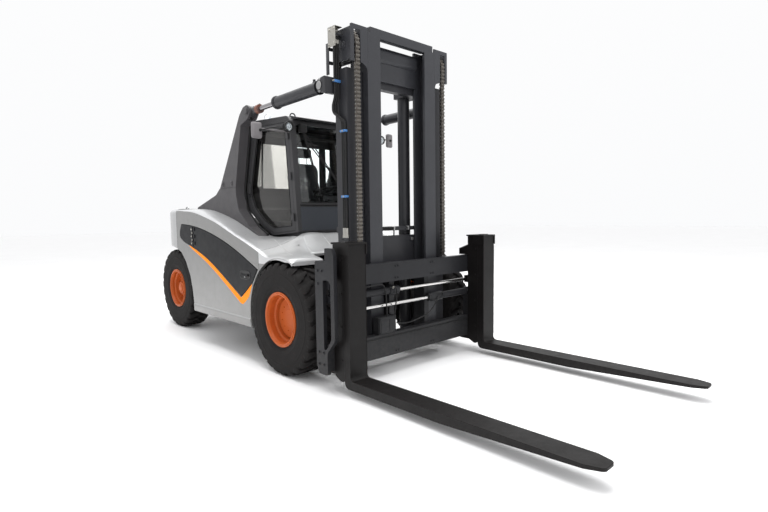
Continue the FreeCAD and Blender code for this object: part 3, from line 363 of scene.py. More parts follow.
CAD_MAT = {
    "body_side_left": M_BODY, "body_side_right": M_BODY, "front_hood": M_SILVER_PAINTED_HIGHLIGHT, "rear_lid": M_BODY,
    "counterweight": M_CW, "counterweight_low": M_CW, "side_trims": M_PANEL, "step_panel_left": M_PANEL,
    "hatch_left": M_PANEL, "hatch_right": M_PANEL, "pillar_left": M_PILLAR, "pillar_right": M_PILLAR,
    "cab_shell": M_CAB, "cab_roof": M_CAB, "cab_door_left": M_CAB, "cab_door_right": M_CAB,
    "cab_glass": M_GLASS, "door_glass_left": M_DOORG, "door_glass_right": M_DOORG,
    "dashboard": M_BLACK, "steering_wheel": M_BLACK, "seat_frame": M_BLACK,
    "outer_mast": M_MAST, "inner_mast": M_MASTI, "lift_cylinders": M_MAST, "lift_rods": M_CHROME,
    "chain_sheaves": M_STEEL, "carriage_frame": M_CARR, "positioner_cylinders": M_CARR,
    "positioner_rod_left": M_CHROME, "positioner_rod_right": M_CHROME, "fork_left": M_FORK, "fork_right": M_FORK,
    "tilt_barrel_left": M_MAST, "tilt_barrel_right": M_MAST, "tilt_rod_left": M_ROD, "tilt_rod_right": M_ROD,
    "main_frame": M_FRAME, "mast_brackets": M_FRAME, "rear_frame": M_FRAME, "battery_block": M_FRAME,
    "drive_axle": M_AXLE, "steer_axle": M_AXLE, "knuckle_left": M_AXLE, "knuckle_right": M_AXLE,
    "mast_hoses": M_HOSE, "mirrors": M_MIRB, "work_lights": M_BLACK, "carriage_side_plates": M_CARR,
}
for k in ("front_left", "front_right", "rear_left", "rear_right"):
    CAD_MAT["wheel_" + k] = M_RIM
for k, mat in CAD_MAT.items():
    if k in N:
        N[k].data.materials.clear()
        N[k].data.materials.append(mat)


# ------------------------------------------------------------------ mesh helpers
def obj(name, verts, faces, mat, body, angle=35.0):
    me = bpy.data.meshes.new(name)
    me.from_pydata([tuple(v) for v in verts], [], [tuple(f) for f in faces])
    me.validate()
    bm = bmesh.new()
    bm.from_mesh(me)
    bmesh.ops.recalc_face_normals(bm, faces=bm.faces)
    bm.to_mesh(me)
    bm.free()
    me.materials.append(mat)
    me.polygons.foreach_set("use_smooth", [True] * len(me.polygons))
    me.set_sharp_from_angle(angle=math.radians(angle))
    o = bpy.data.objects.new(name, me)
    scene.collection.objects.link(o)
    if body:
        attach(o, body)
    return o


class Shape:
    """Collects vertices and faces of several closed forms for one piece."""

    def __init__(self):
        self.v, self.f = [], []

    def add(self, verts, faces):
        n = len(self.v)
        self.v += [tuple(p) for p in verts]
        self.f += [tuple(i + n for i in f) for f in faces]

    def bm(self, b):
        b.verts.ensure_lookup_table()
        b.verts.index_update()
        self.add([v.co[:] for v in b.verts], [[v.index for v in f.verts] for f in b.faces])
        b.free()

    def rbox(self, lo, hi, r=0.004, seg=2, mat=None):
        b = bmesh.new()
        bmesh.ops.create_cube(b, size=1.0)
        lo, hi = Vector(lo), Vector(hi)
        for v in b.verts:
            v.co = Vector(((v.co.x + .5) * (hi.x - lo.x) + lo.x, (v.co.y + .5) * (hi.y - lo.y) + lo.y,
                           (v.co.z + .5) * (hi.z - lo.z) + lo.z))
        r = min(r, 0.45 * min(hi - lo))
        if r > 0:
            bmesh.ops.bevel(b, geom=list(b.edges), offset=r, segments=seg, profile=0.5, affect="EDGES")
        if mat is not None:
            b.transform(mat)
        self.bm(b)
        return self

    def lathe(self, prof, origin, axis, seg=24, closed=False):
        """prof: (distance along axis, radius) points."""
        a = Vector(axis).normalized()
        u = a.orthogonal().normalized()
        w = a.cross(u)
        o = Vector(origin)
        vs, fs = [], []
        rings = []
        for t, r in prof:
            if r < 1e-6:
                rings.append([len(vs)])
                vs.append(o + a * t)
            else:
                rings.append(list(range(len(vs), len(vs) + seg)))
                for k in range(seg):
                    g = 2 * math.pi * k / seg
                    vs.append(o + a * t + (u * math.cos(g) + w * math.sin(g)) * r)
        pairs = list(zip(rings, rings[1:]))
        if closed:
            pairs.append((rings[-1], rings[0]))
        for A, B in pairs:
            for k in range(seg):
                j = (k + 1) % seg
                if len(A) == 1 and len(B) == 1:
                    continue
                if len(A) == 1:
                    fs.append((A[0], B[j], B[k]))
                elif len(B) == 1:
                    fs.append((A[k], A[j], B[0]))
                else:
                    fs.append((A[k], A[j], B[j], B[k]))
        if not closed:
            for ring in (rings[0], rings[-1]):
                if len(ring) > 1:
                    fs.append(tuple(ring))
        self.add(vs, fs)
        return self

    def bolt(self, p, d, r=0.012, h=0.009, washer=True, cap=False):
        """Hexagon bolt head (or socket cap) with washer, standing on p along d."""
        a = Vector(d).normalized()
        p = Vector(p)
        if washer:
            self.lathe([(-0.001, r * 1.55), (h * 0.22, r * 1.55), (h * 0.26, r * 1.45)], p, a, 18)
        z0 = h * 0.2
        if cap:
            self.lathe([(z0, r), (h * 1.2, r), (h * 1.35, r * 0.85), (h * 1.35, r * 0.5), (h * 0.8, r * 0.45)], p, a, 16)
            return self
        u = a.orthogonal().normalized()
        w = a.cross(u)
        vs = []
        for t, k in ((z0, 1.0), (h * 1.1, 1.0), (h * 1.3, 0.88)):
            for i in range(6):
                g = math.pi / 3 * i
                vs.append(p + a * t + (u * math.cos(g) + w * math.sin(g)) * r * k)
        fs = [tuple(range(12, 18))]
        for lv in (0, 6):
            for i in range(6):
                j = (i + 1) % 6
                fs.append((lv + i, lv + j, lv + 6 + j, lv + 6 + i))
        self.add(vs, fs)
        return self

    def tube(self, pts, r, seg=10, caps=True):
        """Round bar along points, smoothed by the caller's choice of points."""
        pts = [Vector(p) for p in pts]
        vs, rings = [], []
        prev = None
        for i, p in enumerate(pts):
            t = (pts[min(i + 1, len(pts) - 1)] - pts[max(i - 1, 0)]).normalized()
            if prev is None:
                u = t.orthogonal().normalized()
            else:
                u = (prev - t * prev.dot(t)).normalized()
            prev = u
            w = t.cross(u)
            rings.append(list(range(len(vs), len(vs) + seg)))
            rr = r[i] if isinstance(r, (list, tuple)) else r
            for k in range(seg):
                g = 2 * math.pi * k / seg
                vs.append(p + (u * math.cos(g) + w * math.sin(g)) * rr)
        fs = []
        for A, B in zip(rings, rings[1:]):
            for k in range(seg):
                j = (k + 1) % seg
                fs.append((A[k], A[j], B[j], B[k]))
        if caps:
            fs += [tuple(rings[0]), tuple(rings[-1])]
        self.add(vs, fs)
        return self

    def make(self, name, mat, body, angle=35.0, slot=None):
        return obj(name, self.v, self.f, mat, body, angle)

    def mirrored(self):
        s = Shape()
        s.add([(-x, y, z) for x, y, z in self.v], [tuple(reversed(f)) for f in self.f])
        return s


def W(x, y, z):
    """A point given from the front axle, in the row frame."""
    return Vector((x, y + S, z))


def smooth(pts, n=8):
    """Catmull-Rom points through pts."""
    pts = [Vector(p) for p in pts]
    out = []
    for i in range(len(pts) - 1):
        p0, p1, p2, p3 = pts[max(i - 1, 0)], pts[i], pts[i + 1], pts[min(i + 2, len(pts) - 1)]
        for k in range(n):
            t = k / n
            out.append(0.5 * ((2 * p1) + (p2 - p0) * t + (2 * p0 - 5 * p1 + 4 * p2 - p3) * t * t
                              + (3 * p1 - p0 - 3 * p2 + p3) * t ** 3))
    out.append(pts[-1])
    return out


def bvh(node):
    o = N[node]
    return BVHTree.FromPolygons([v.co.copy() for v in o.data.vertices], [tuple(p.vertices) for p in o.data.polygons])


# ------------------------------------------------------------------ tyres
def tyre(name, xc, yc, zc, body, cad, side, phase=0.0):
    """Solid industrial tyre: ribbed side walls and interlocking shoulder lugs."""
    sh = Shape()
    base = [(-0.128, 0.2545), (-0.130, 0.283), (-0.139, 0.300), (-0.1405, 0.306), (-0.1435, 0.309), (-0.148, 0.325),
            (-0.151, 0.345), (-0.1520, 0.3480), (-0.1520, 0.3520), (-0.1515, 0.3550), (-0.1535, 0.385), (-0.1545, 0.420),
            (-0.1548, 0.450), (-0.1548, 0.4560), (-0.1562, 0.4585), (-0.1562, 0.4630), (-0.1548, 0.4655), (-0.1545, 0.490),
            (-0.1535, 0.512), (-0.1510, 0.530), (-0.1460, 0.5420), (-0.136, 0.5470), (-0.100, 0.549), (-0.05, 0.550), (0, 0.550)]
    prof = base + [(-a, b) for a, b in reversed(base[:-1])]
    prof.append((0.128, 0.2545))
    sh.lathe([(a, b) for a, b in prof], (xc, yc, zc), (1, 0, 0), 128, closed=True)
    # lugs: stations from the middle line out over the shoulder
    top = [(0.004, 0.5750), (0.045, 0.5750), (0.090, 0.5745), (0.118, 0.5735), (0.1360, 0.5680), (0.1470, 0.5560),
           (0.1520, 0.5400), (0.1538, 0.5200), (0.1535, 0.5080)]
    low = [(0.004, 0.545), (0.045, 0.545), (0.090, 0.544), (0.112, 0.541), (0.1290, 0.537), (0.1390, 0.530),
           (0.1470, 0.521), (0.1500, 0.512), (0.1500, 0.505)]
    shift = [0.074, 0.058, 0.020, 0.012, 0.0, 0.0, 0.0, 0.0, 0.0]
    half = [0.020, 0.026, 0.038, 0.043, 0.046, 0.047, 0.044, 0.036, 0.020]
    n = 26
    for s in (-1, 1):
        for k in range(n):
            a0 = 2 * math.pi * (k + (0.5 if s > 0 else 0.0) + phase) / n
            vs, nst, na = [], len(top), 5
            for (tx, tr), (lx, lr), shf, hw in zip(top, low, shift, half):
                for j in range(na):
                    q = (j / (na - 1) * 2 - 1)
                    e = abs(q) ** 8
                    rr = tr - 0.0035 * e
                    g = a0 + (shf + q * hw) / 0.575 * side
                    vs.append((xc + s * tx, yc + rr * math.sin(g), zc + rr * math.cos(g)))
            m0 = len(vs)
            for (tx, tr), (lx, lr), shf, hw in zip(top, low, shift, half):
                for q in (-1, 1):
                    g = a0 + (shf + q * (hw + 0.007)) / 0.575 * side
                    vs.append((xc + s * lx, yc + lr * math.sin(g), zc + lr * math.cos(g)))
            fs = []
            for i in range(nst - 1):
                for j in range(na - 1):
                    fs.append((i * na + j, i * na + j + 1, (i + 1) * na + j + 1, (i + 1) * na + j))
                fs.append((i * na, (i + 1) * na, m0 + (i + 1) * 2, m0 + i * 2))
                fs.append((i * na + na - 1, m0 + i * 2 + 1, m0 + (i + 1) * 2 + 1, (i + 1) * na + na - 1))
            fs.append(tuple(range(na)) + (m0 + 1, m0))
            e0 = (nst - 1) * na
            fs.append(tuple(range(e0, e0 + na)) + (m0 + (nst - 1) * 2 + 1, m0 + (nst - 1) * 2))
            sh.add(vs, fs)
    o = sh.make(name, M_TYRE, body, 32.0, "tyre_rubber")
    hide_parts(cad)
    return o


YF, YR, ZW = S, 3.2 + S, 0.575
tyre("tread_front_left", 1.025, YF, ZW, "front_wheel_left", "tyre_front_left", 1)
tyre("tread_front_right", -1.025, YF, ZW, "front_wheel_right", "tyre_front_right", 1, 0.25)
tyre("tread_rear_left", 0.805, YR, ZW, "rear_wheel_left", "tyre_rear_left", 1, 0.1)
tyre("tread_rear_right", -0.805, YR, ZW, "rear_wheel_right", "tyre_rear_right", 1, 0.4)

# wheel nuts and hub caps behind, a flush drive cover with small screws in front, lock rings on all four
for nm, xc, y, disc, hub, front in (("front_left", 1.025, YF, -0.012, 0.018, True), ("front_right", -1.025, YF, -0.012, 0.018, True),
                                    ("rear_left", 0.805, YR, 0.020, 0.092, False), ("rear_right", -0.805, YR, 0.020, 0.092, False)):
    s = 1 if xc > 0 else -1
    body = ("front_wheel_" if front else "rear_wheel_") + ("left" if s > 0 else "right")
    if not front:
        nuts = Shape()
        for k in range(10):
            g = 2 * math.pi * (k + 0.5) / 10
            p = Vector((xc + s * disc, y + 0.176 * math.cos(g), ZW + 0.176 * math.sin(g)))
            nuts.bolt(p, (s, 0, 0), 0.0175, 0.019)
            nuts.lathe([(0.02, 0.0105), (0.036, 0.0105), (0.038, 0.009)], p, (s, 0, 0), 12)
        nuts.make("nuts_" + nm, M_RIM, body, 30)
    cap = Shape()
    if front:
        cap.lathe([(-0.034, 0.2060), (0.0020, 0.2060), (0.0050, 0.2035), (0.0055, 0.1900), (0.0030, 0.1860), (0.0026, 0.0950),
                   (0.0060, 0.0900), (0.0065, 0.0)], (xc + s * hub, y, ZW), (s, 0, 0), 72)
        for k in range(12):
            g = 2 * math.pi * (k + 0.5) / 12
            cap.bolt((xc + s * (hub + 0.0028), y + 0.142 * math.cos(g), ZW + 0.142 * math.sin(g)), (s, 0, 0), 0.0065, 0.004,
                     washer=False, cap=True)
    else:
        cap.lathe([(0.0, 0.062), (0.004, 0.062), (0.010, 0.055), (0.0125, 0.03), (0.013, 0.0)],
                  (xc + s * hub, y, ZW), (s, 0, 0), 40)
        for k in range(6):
            g = 2 * math.pi * k / 6
            cap.bolt((xc + s * (hub - 0.013), y + 0.079 * math.cos(g), ZW + 0.079 * math.sin(g)), (s, 0, 0), 0.006, 0.006)
    cap.make("hubcap_" + nm, M_RIM, body, 30)
    ring = Shape()
    ring.lathe([(0.1425, 0.2665), (0.147, 0.2655), (0.150, 0.2595), (0.148, 0.253), (0.1425, 0.2485)],
               (xc, y, ZW), (s, 0, 0), 96, closed=True)
    ring.make("lock_ring_" + nm, M_RIM, body, 40)


# ------------------------------------------------------------------ body side details
def both_sides(shape, name, mat, body, angle=35.0, slot=None):
    a = shape.make(name + "_left", mat, body, angle, slot)
    b = shape.mirrored().make(name + "_right", mat, body, angle, slot)
    return a, b


def flat_band(top, bot, x0, x1, chamfer=0.0015):
    """Band between two outlines (y, z from the front axle), x0 to x1 thick with a small chamfer."""
    s = Shape()
    n = len(top)
    vs = []
    for x, k in ((x0, 0.0), (x1 - chamfer, 0.0), (x1, 1.0)):
        for (ty, tz), (by, bz) in zip(top, bot):
            d = Vector((by - ty, bz - tz))
            L = max(d.length, 1e-6)
            e = min(0.25, chamfer / L) * k
            vs.append(W(x, ty + d.x * e, tz + d.y * e))
            vs.append(W(x, by - d.x * e, bz - d.y * e))
    m2 = 2 * n
    fs = []
    for i in range(n - 1):
        a, b, c, d = 2 * i, 2 * i + 1, 2 * i + 3, 2 * i + 2
        fs.append((2 * m2 + a, 2 * m2 + b, 2 * m2 + c, 2 * m2 + d))
        fs.append((a, d, c, b))
        for lv in (0, m2):
            fs.append((lv + a, lv + m2 + a, lv + m2 + d, lv + d))
            fs.append((lv + b, lv + c, lv + m2 + c, lv + m2 + b))
    for i in (0, n - 1):
        for lv in (0, m2):
            fs.append((lv + 2 * i, lv + 2 * i + 1, lv + m2 + 2 * i + 1, lv + m2 + 2 * i))
    s.add(vs, fs)
    return s


def lerp_curve(pts, n):
    """n points evenly along smooth(pts), as (y, z)."""
    q = smooth([(0, y, z) for y, z in pts], 12)
    L = [0.0]
    for a, b in zip(q, q[1:]):
        L.append(L[-1] + (b - a).length)
    out = []
    j = 0
    for i in range(n):
        t = L[-1] * i / (n - 1)
        while j < len(L) - 2 and L[j + 1] < t:
            j += 1
        f = (t - L[j]) / max(L[j + 1] - L[j], 1e-9)
        p = q[j] + (q[j + 1] - q[j]) * min(max(f, 0), 1)
        out.append((p.y, p.z))
    return out


# bright stripe under the dark side panel: long rising run, point, short rise to the arch
run_top = [(2.205, 1.2555), (2.088, 1.2285), (1.747, 1.1290), (1.454, 1.0130), (1.139, 0.8645), (0.907, 0.7520)]
run_low = [(2.205, 1.2505), (2.075, 1.1960), (1.735, 1.0760), (1.430, 0.9440), (1.120, 0.7900), (0.884, 0.6700)]
tip_top = [(0.907, 0.7520), (0.868, 0.7305), (0.825, 0.7120), (0.782, 0.7395), (0.719, 0.7810)]
tip_low = [(0.884, 0.6700), (0.846, 0.6500), (0.800, 0.6400), (0.757, 0.6580), (0.690, 0.7030)]
end_top = [(0.719, 0.7810), (0.650, 0.8300), (0.5690, 0.8870)]
end_low = [(0.690, 0.7030), (0.645, 0.7430), (0.6150, 0.7900)]
tops = lerp_curve(run_top, 60)[:-1] + lerp_curve(tip_top, 20)[:-1] + lerp_curve(end_top, 10)
lows = lerp_curve(run_low, 60)[:-1] + lerp_curve(tip_low, 20)[:-1] + lerp_curve(end_low, 10)
both_sides(flat_band(tops, lows, 1.1495, 1.1518, 0.0008), "stripe", M_STRIPE, "chassis", 30, "body_paint")

# rocker band with a sloping upper edge
rk = Shape()
prof = [(1.1495, 0.4025), (1.1555, 0.4040), (1.1570, 0.4080), (1.1570, 0.4830), (1.1558, 0.4880), (1.1500, 0.5010),
        (1.1495, 0.5010)]
ys = [0.628 + (2.112 - 0.628) * i / 24 for i in range(25)]
vs = []
for y in ys:
    for x, z in prof:
        yy = y
        if y == ys[0]:
            yy = 0.012 + math.sqrt(max(0.622 ** 2 - (z - 0.575) ** 2, 0))
        if y == ys[-1]:
            yy = 2.1085 + max(0.0, (z - 0.40)) * 0.11
        vs.append(W(x, yy, z))
k = len(prof)
fs = [tuple(range(k)), tuple(range(24 * k, 25 * k))]
for i in range(24):
    for j in range(k):
        a, b = i * k + j, i * k + (j + 1) % k
        fs.append((a, b, b + k, a + k))
rk.add(vs, fs)
both_sides(rk, "rocker", M_BODY, "chassis", 25, "body_paint")

# bright lip round the front arch
lip = Shape()
R0 = 0.6195
sec = [(1.112, 0.0), (1.1535, 0.0), (1.1550, 0.0012), (1.1555, 0.0035), (1.1545, 0.0060), (1.1495, 0.0085),
       (1.112, 0.0085)]
a0, a1, na = -20.4, 106.5, 84
vs, fs = [], []
for i in range(na + 1):
    g = math.radians(a0 + (a1 - a0) * i / na)
    for x, dr in sec:
        r = R0 - 0.0045 + dr
        vs.append(W(x, r * math.sin(g), 0.575 + r * math.cos(g)))
k = len(sec)
for i in range(na):
    for j in range(k):
        a, b = i * k + j, i * k + (j + 1) % k
        fs.append((a, b, b + k, a + k))
fs += [tuple(range(k)), tuple(range(na * k, na * k + k))]
lip.add(vs, fs)
both_sides(lip, "arch_lip", M_BODY, "chassis", 30, "body_paint")

# body side between the arch lip, the hood edge and the front corner of the side panel
fz = [1.1188 - (1.1188 - 0.8850) * i / 48 for i in range(49)]
fl = [(math.sqrt(0.6225 ** 2 - (z - 0.575) ** 2), z) for z in fz]
fr = []
for z in fz:
    if z > 1.1104:
        y = 0.574 + (z - 1.1104) / 0.41
    elif z > 1.0512:
        y = 0.444 + (z - 1.0554) / 0.423
    else:
        y = min(0.4407 + (1.043 - z) / 1.25, 0.5648)
    fr.append((y - 0.0005, z))
both_sides(flat_band(fl, fr, 1.1370, 1.1496, 0.0008), "arch_side", M_BODY, "chassis", 30, "body_paint")

# hinge strip of the side panel with its bolts
for sgn, nm in ((1, "left"), (-1, "right")):
    st = Shape()
    for lo, hi, r in (((1.1515, 2.078, 1.262), (1.1550, 2.128, 1.492), 0.0015),):
        p0, p1 = W(*lo), W(*hi)
        st.rbox(p0, p1, r)
    for z in (1.274, 1.364, 1.454):
        st.rbox(W(1.1548, 2.082, z - 0.006), W(1.1572, 2.124, z + 0.030), 0.001)
    (st if sgn > 0 else st.mirrored()).make("hinge_plate_" + nm, M_BLACK, "chassis", 35, "black_plastic")
    bt = Shape()
    for y, z in ((2.104, 1.284), (2.104, 1.374), (2.104, 1.464), (2.090, 1.330), (2.090, 1.420)):
        bt.bolt(W(1.1568 if y > 2.1 else 1.1546, y, z), (1, 0, 0), 0.0075, 0.006, cap=(y < 2.1))
    (bt if sgn > 0 else bt.mirrored()).make("hinge_bolts_" + nm, M_ZINC, "chassis", 35, "steel")

# recessed latch of the side panel, behind the grip bar
for sgn, nm, dy, dz in ((-1, "right", 0.0, 0.0), (1, "left", 0.640, 0.210)):
    cup = Shape()
    c = Vector((1.1516, 0.715 + dy, 0.975 + dz))
    ring = []
    nseg = 40
    lv = [(0.000, 1.06, 1.10), (0.0035, 1.05, 1.08), (0.0045, 1.01, 1.02), (0.0045, 0.95, 0.93), (0.0010, 0.90, 0.84)]
    vs, fs = [], []
    for dx, ky, kz in lv:
        for i in range(nseg):
            g = 2 * math.pi * i / nseg
            cy = math.copysign(abs(math.cos(g)) ** 0.55, math.cos(g)) * 0.112 * ky
            cz = math.copysign(abs(math.sin(g)) ** 0.7, math.sin(g)) * 0.047 * kz
            vs.append(W(c.x + dx, c.y + cy, c.z + cz))
    for a in range(len(lv) - 1):
        for i in range(nseg):
            j = (i + 1) % nseg
            fs.append((a * nseg + i, a * nseg + j, (a + 1) * nseg + j, (a + 1) * nseg + i))
    fs += [tuple(range(nseg)), tuple(range((len(lv) - 1) * nseg, len(lv) * nseg))]
    cup.add(vs, fs)
    (cup if sgn > 0 else cup.mirrored()).make("latch_cup_" + nm, M_BLACK, "hatch_%s_body" % nm, 35, "black_plastic")
    key = Shape()
    key.lathe([(0.0, 0.011), (0.006, 0.011), (0.0075, 0.0095), (0.0075, 0.0035), (0.0065, 0.0)],
              W(1.1522, 0.715 + dy, 0.953 + dz), (1, 0, 0), 24)
    key.rbox(W(1.1595, 0.7135 + dy, 0.947 + dz), W(1.1606, 0.7165 + dy, 0.959 + dz), 0.0004, 1)
    (key if sgn > 0 else key.mirrored()).make("latch_key_" + nm, M_STEEL, "hatch_%s_body" % nm, 35, "steel")

# step treads in the left pocket
tr = Shape()
for i in range(7):
    y = 0.872 + i * 0.037
    tr.rbox(W(0.990, y, 0.9302), W(1.148, y + 0.012, 0.9375), 0.0015)
for i in range(3):
    x = 1.010 + i * 0.055
    tr.rbox(W(x, 0.858, 0.9300), W(x + 0.008, 1.112, 0.9352), 0.001)
tr.make("step_treads", M_STEEL, "chassis", 35, "steel")
mat_trim = Shape()
for (y0, y1, z0, z1) in ((0.842, 1.128, 1.0915, 1.0985), (0.842, 1.128, 0.9215, 0.9285), (0.842, 0.8490, 0.9285, 1.0915),
                         (1.1210, 1.128, 0.9285, 1.0915)):
    mat_trim.rbox(W(1.1515, y0, z0), W(1.1552, y1, z1), 0.0015)
mat_trim.make("step_frame", M_BLACK, "chassis", 35, "black_plastic")


# ------------------------------------------------------------------ raised fields and beads on the hood
T_HOOD, T_BL, T_BR = bvh("front_hood"), bvh("body_side_left"), bvh("body_side_right")


def drop(x, y, trees=(T_HOOD, T_BL, T_BR), z=3.0):
    best = None
    for t in trees:
        h = t.ray_cast(Vector((x, y + S, z)), Vector((0, 0, -1)))
        if h[0] is not None and (best is None or h[0].z > best):
            best = h[0].z
    return best


def field(corners, h, edge, nu=36, nv=24, back=0.004):
    """Raised field over a quad of plan corners, its edges rolling down over `edge` metres."""
    (ax, ay), (bx, by), (cx, cy), (dx, dy) = corners
    lu = max(math.hypot(bx - ax, by - ay), 1e-6)
    lv = max(math.hypot(dx - ax, dy - ay), 1e-6)

    def spaced(n, L):
        e = min(0.3, edge / L)
        q = [0, e * .12, e * .3, e * .55, e * .8, e]
        return q + [e + (1 - 2 * e) * i / n for i in range(1, n)] + [1 - v for v in reversed(q)]

    us, vv = spaced(nu, lu), spaced(nv, lv)
    top, low = [], []
    for v in vv:
        for u in us:
            x = (ax * (1 - u) + bx * u) * (1 - v) + (dx * (1 - u) + cx * u) * v
            y = (ay * (1 - u) + by * u) * (1 - v) + (dy * (1 - u) + cy * u) * v
            z = drop(x, y)
            if z is None:
                z = 1.2
            du, dv = min(u, 1 - u) * lu, min(v, 1 - v) * lv
            k = min(1.0, du / edge) * min(1.0, dv / edge)
            k = k * k * (3 - 2 * k)
            top.append(W(x, y, z - 0.0006 + (h + 0.0006) * k))
            low.append(W(x, y, z - back))
    n, mm = len(us), len(vv)
    vs = top + low
    fs = []
    o = len(top)
    for j in range(mm - 1):
        for i in range(n - 1):
            a = j * n + i
            fs.append((a, a + 1, a + n + 1, a + n))
            fs.append((o + a, o + a + n, o + a + n + 1, o + a + 1))
    loop = [i for i in range(n)] + [j * n + n - 1 for j in range(1, mm)] + \
           [(mm - 1) * n + i for i in range(n - 2, -1, -1)] + [j * n for j in range(mm - 2, 0, -1)]
    for a, b in zip(loop, loop[1:] + loop[:1]):
        fs.append((a, o + a, o + b, b))
    s = Shape()
    s.add(vs, fs)
    return s


field([(-0.772, -0.006), (0.772, -0.006), (0.604, 0.398), (-0.604, 0.398)], 0.0075, 0.030, 44, 16).make(
    "hood_field", M_SILVER_PAINTED_HIGHLIGHT, "chassis", 60, "body_paint")


def bead(pts, r, name, mat, body="chassis", lift=0.0, seg=8):
    """A thin rib laid on the top skin along plan points."""
    q = smooth([(x, y, 0) for x, y in pts], 10)
    out = []
    for p in q:
        z = drop(p.x, p.y)
        out.append(W(p.x, p.y, (z if z is not None else 1.3) + lift))
    s = Shape()
    s.tube(out, r, seg)
    return s


for sgn, nm in ((1, "left"), (-1, "right")):
    b = bead([(0.815, 0.655), (0.860, 0.480), (0.915, 0.250), (0.985, 0.000)], 0.0036, "", None, lift=-0.0008)
    (b if sgn > 0 else b.mirrored()).make("hood_rib_outer_" + nm, M_SILVER_PAINTED_HIGHLIGHT, "chassis", 60, "body_paint")
    b = bead([(0.340, 0.392), (0.372, 0.240), (0.420, 0.030)], 0.0090, "", None, lift=0.0028)
    (b if sgn > 0 else b.mirrored()).make("hood_rib_inner_" + nm, M_SILVER_PAINTED_HIGHLIGHT, "chassis", 60, "body_paint")
    rv = Shape()
    for x, y in ((0.742, 0.262),):
        z = drop(x, y)
        rv.lathe([(-0.002, 0.011), (0.0012, 0.011), (0.0030, 0.0085), (0.0036, 0.0)], W(x, y, z), (0.05, 0.25, 1), 20)
    (rv if sgn > 0 else rv.mirrored()).make("hood_rivet_" + nm, M_BODY, "chassis", 35, "body_paint")

# dark joint lines between hood and sides, and along the counterweight
for sgn, nm in ((1, "left"), (-1, "right")):
    j = Shape()
    pts = []
    for i in range(25):
        x = 0.66 + (1.1475 - 0.66) * i / 24
        z = drop(x, 0.4150)
        pts.append(W(x, 0.4150, (z or 1.25) - 0.0012))
    pts += [W(1.1487, 0.415, z2) for z2 in (1.205, 1.15, 1.10, 1.06, 1.045)]
    j.tube(pts, 0.0022, 6)
    pts = [W(1.1488, 2.600, z2) for z2 in (1.20, 1.35, 1.50, 1.62, 1.695)]
    for i in range(13):
        x = 1.1475 - (1.1475 - 0.742) * i / 12
        z = drop(x, 2.5985)
        pts.append(W(x, 2.600, (z or 1.7) - 0.0008))
    j.tube(pts, 0.0026, 6)
    (j if sgn > 0 else j.mirrored()).make("joint_lines_" + nm, M_SEAL, "chassis", 60, "black_plastic")

# rear lid: two recessed pulls, hinge barrels are in the frame already
T_LID = bvh("rear_lid")
lp = Shape()
for sx in (-1, 1):
    for i in range(2):
        x, y = sx * 0.46, 1.585
        h = T_LID.ray_cast(Vector((x, y + S, 3.0)), Vector((0, 0, -1)))
        z = h[0].z if h[0] is not None else 1.62
        if i == 0:
            lp.rbox(W(x - 0.07, y - 0.022, z - 0.002), W(x + 0.07, y + 0.022, z + 0.003), 0.0018)
        else:
            lp.tube(smooth([W(x - 0.05, y, z + 0.001), W(x - 0.045, y, z + 0.016), W(x, y, z + 0.020),
                            W(x + 0.045, y, z + 0.016), W(x + 0.05, y, z + 0.001)], 5), 0.005, 8)
lp.make("lid_pulls", M_BLACK, "rear_lid_body", 35, "black_plastic")
vent = Shape()
for k in range(9):
    y = 1.95 + 0.045 * k
    for sx in (-1, 1):
        x0, x1 = sorted((sx * 0.22, sx * 0.60))
        h = T_LID.ray_cast(Vector((sx * 0.4, y + S, 3.0)), Vector((0, 0, -1)))
        z = h[0].z if h[0] is not None else 1.7
        vent.rbox(W(x0, y - 0.014, z - 0.001), W(x1, y + 0.012, z + 0.0048), 0.0022)
vent.make("lid_louvres", M_BODY, "rear_lid_body", 35, "body_paint")

# ------------------------------------------------------------------ counterweight details
T_CW = bvh("counterweight")


def on_cw(x, z):
    """Point and outward normal on the rear face."""
    h = T_CW.ray_cast(Vector((x, 6.0, z)), Vector((0, -1, 0)))
    return (h[0], h[1]) if h[0] is not None else (Vector((x, 3.5, z)), Vector((0, 1, 0)))


def wrap_panel(x0, x1, z0, z1, out, edge, nu=20, nv=8, rr=0.0):
    """A rounded plate following the rear face between x0..x1 and z0..z1."""
    s = Shape()
    vs, fs = [], []
    us = [i / nu for i in range(nu + 1)]
    ws = [i / nv for i in range(nv + 1)]
    for layer in (0, 1):
        for w in ws:
            for u in us:
                x, z = x0 + (x1 - x0) * u, z0 + (z1 - z0) * w
                p, nrm = on_cw(x, z)
                du, dw = min(u, 1 - u) * abs(x1 - x0), min(w, 1 - w) * abs(z1 - z0)
                k = min(1, du / edge) * min(1, dw / edge)
                k = math.sqrt(max(0.0, 1 - (1 - k) ** 2))
                vs.append(p + nrm * (out * k if layer else -0.004))
    n, mm = nu + 1, nv + 1
    o = n * mm
    for j in range(mm - 1):
        for i in range(n - 1):
            a = j * n + i
            fs.append((a, a + n, a + n + 1, a + 1))
            fs.append((o + a, o + a + 1, o + a + n + 1, o + a + n))
    loop = [i for i in range(n)] + [j * n + n - 1 for j in range(1, mm)] + \
           [(mm - 1) * n + i for i in range(n - 2, -1, -1)] + [j * n for j in range(mm - 2, 0, -1)]
    for a, b in zip(loop, loop[1:] + loop[:1]):
        fs.append((a, b, o + b, o + a))
    s.add(vs, fs)
    return s


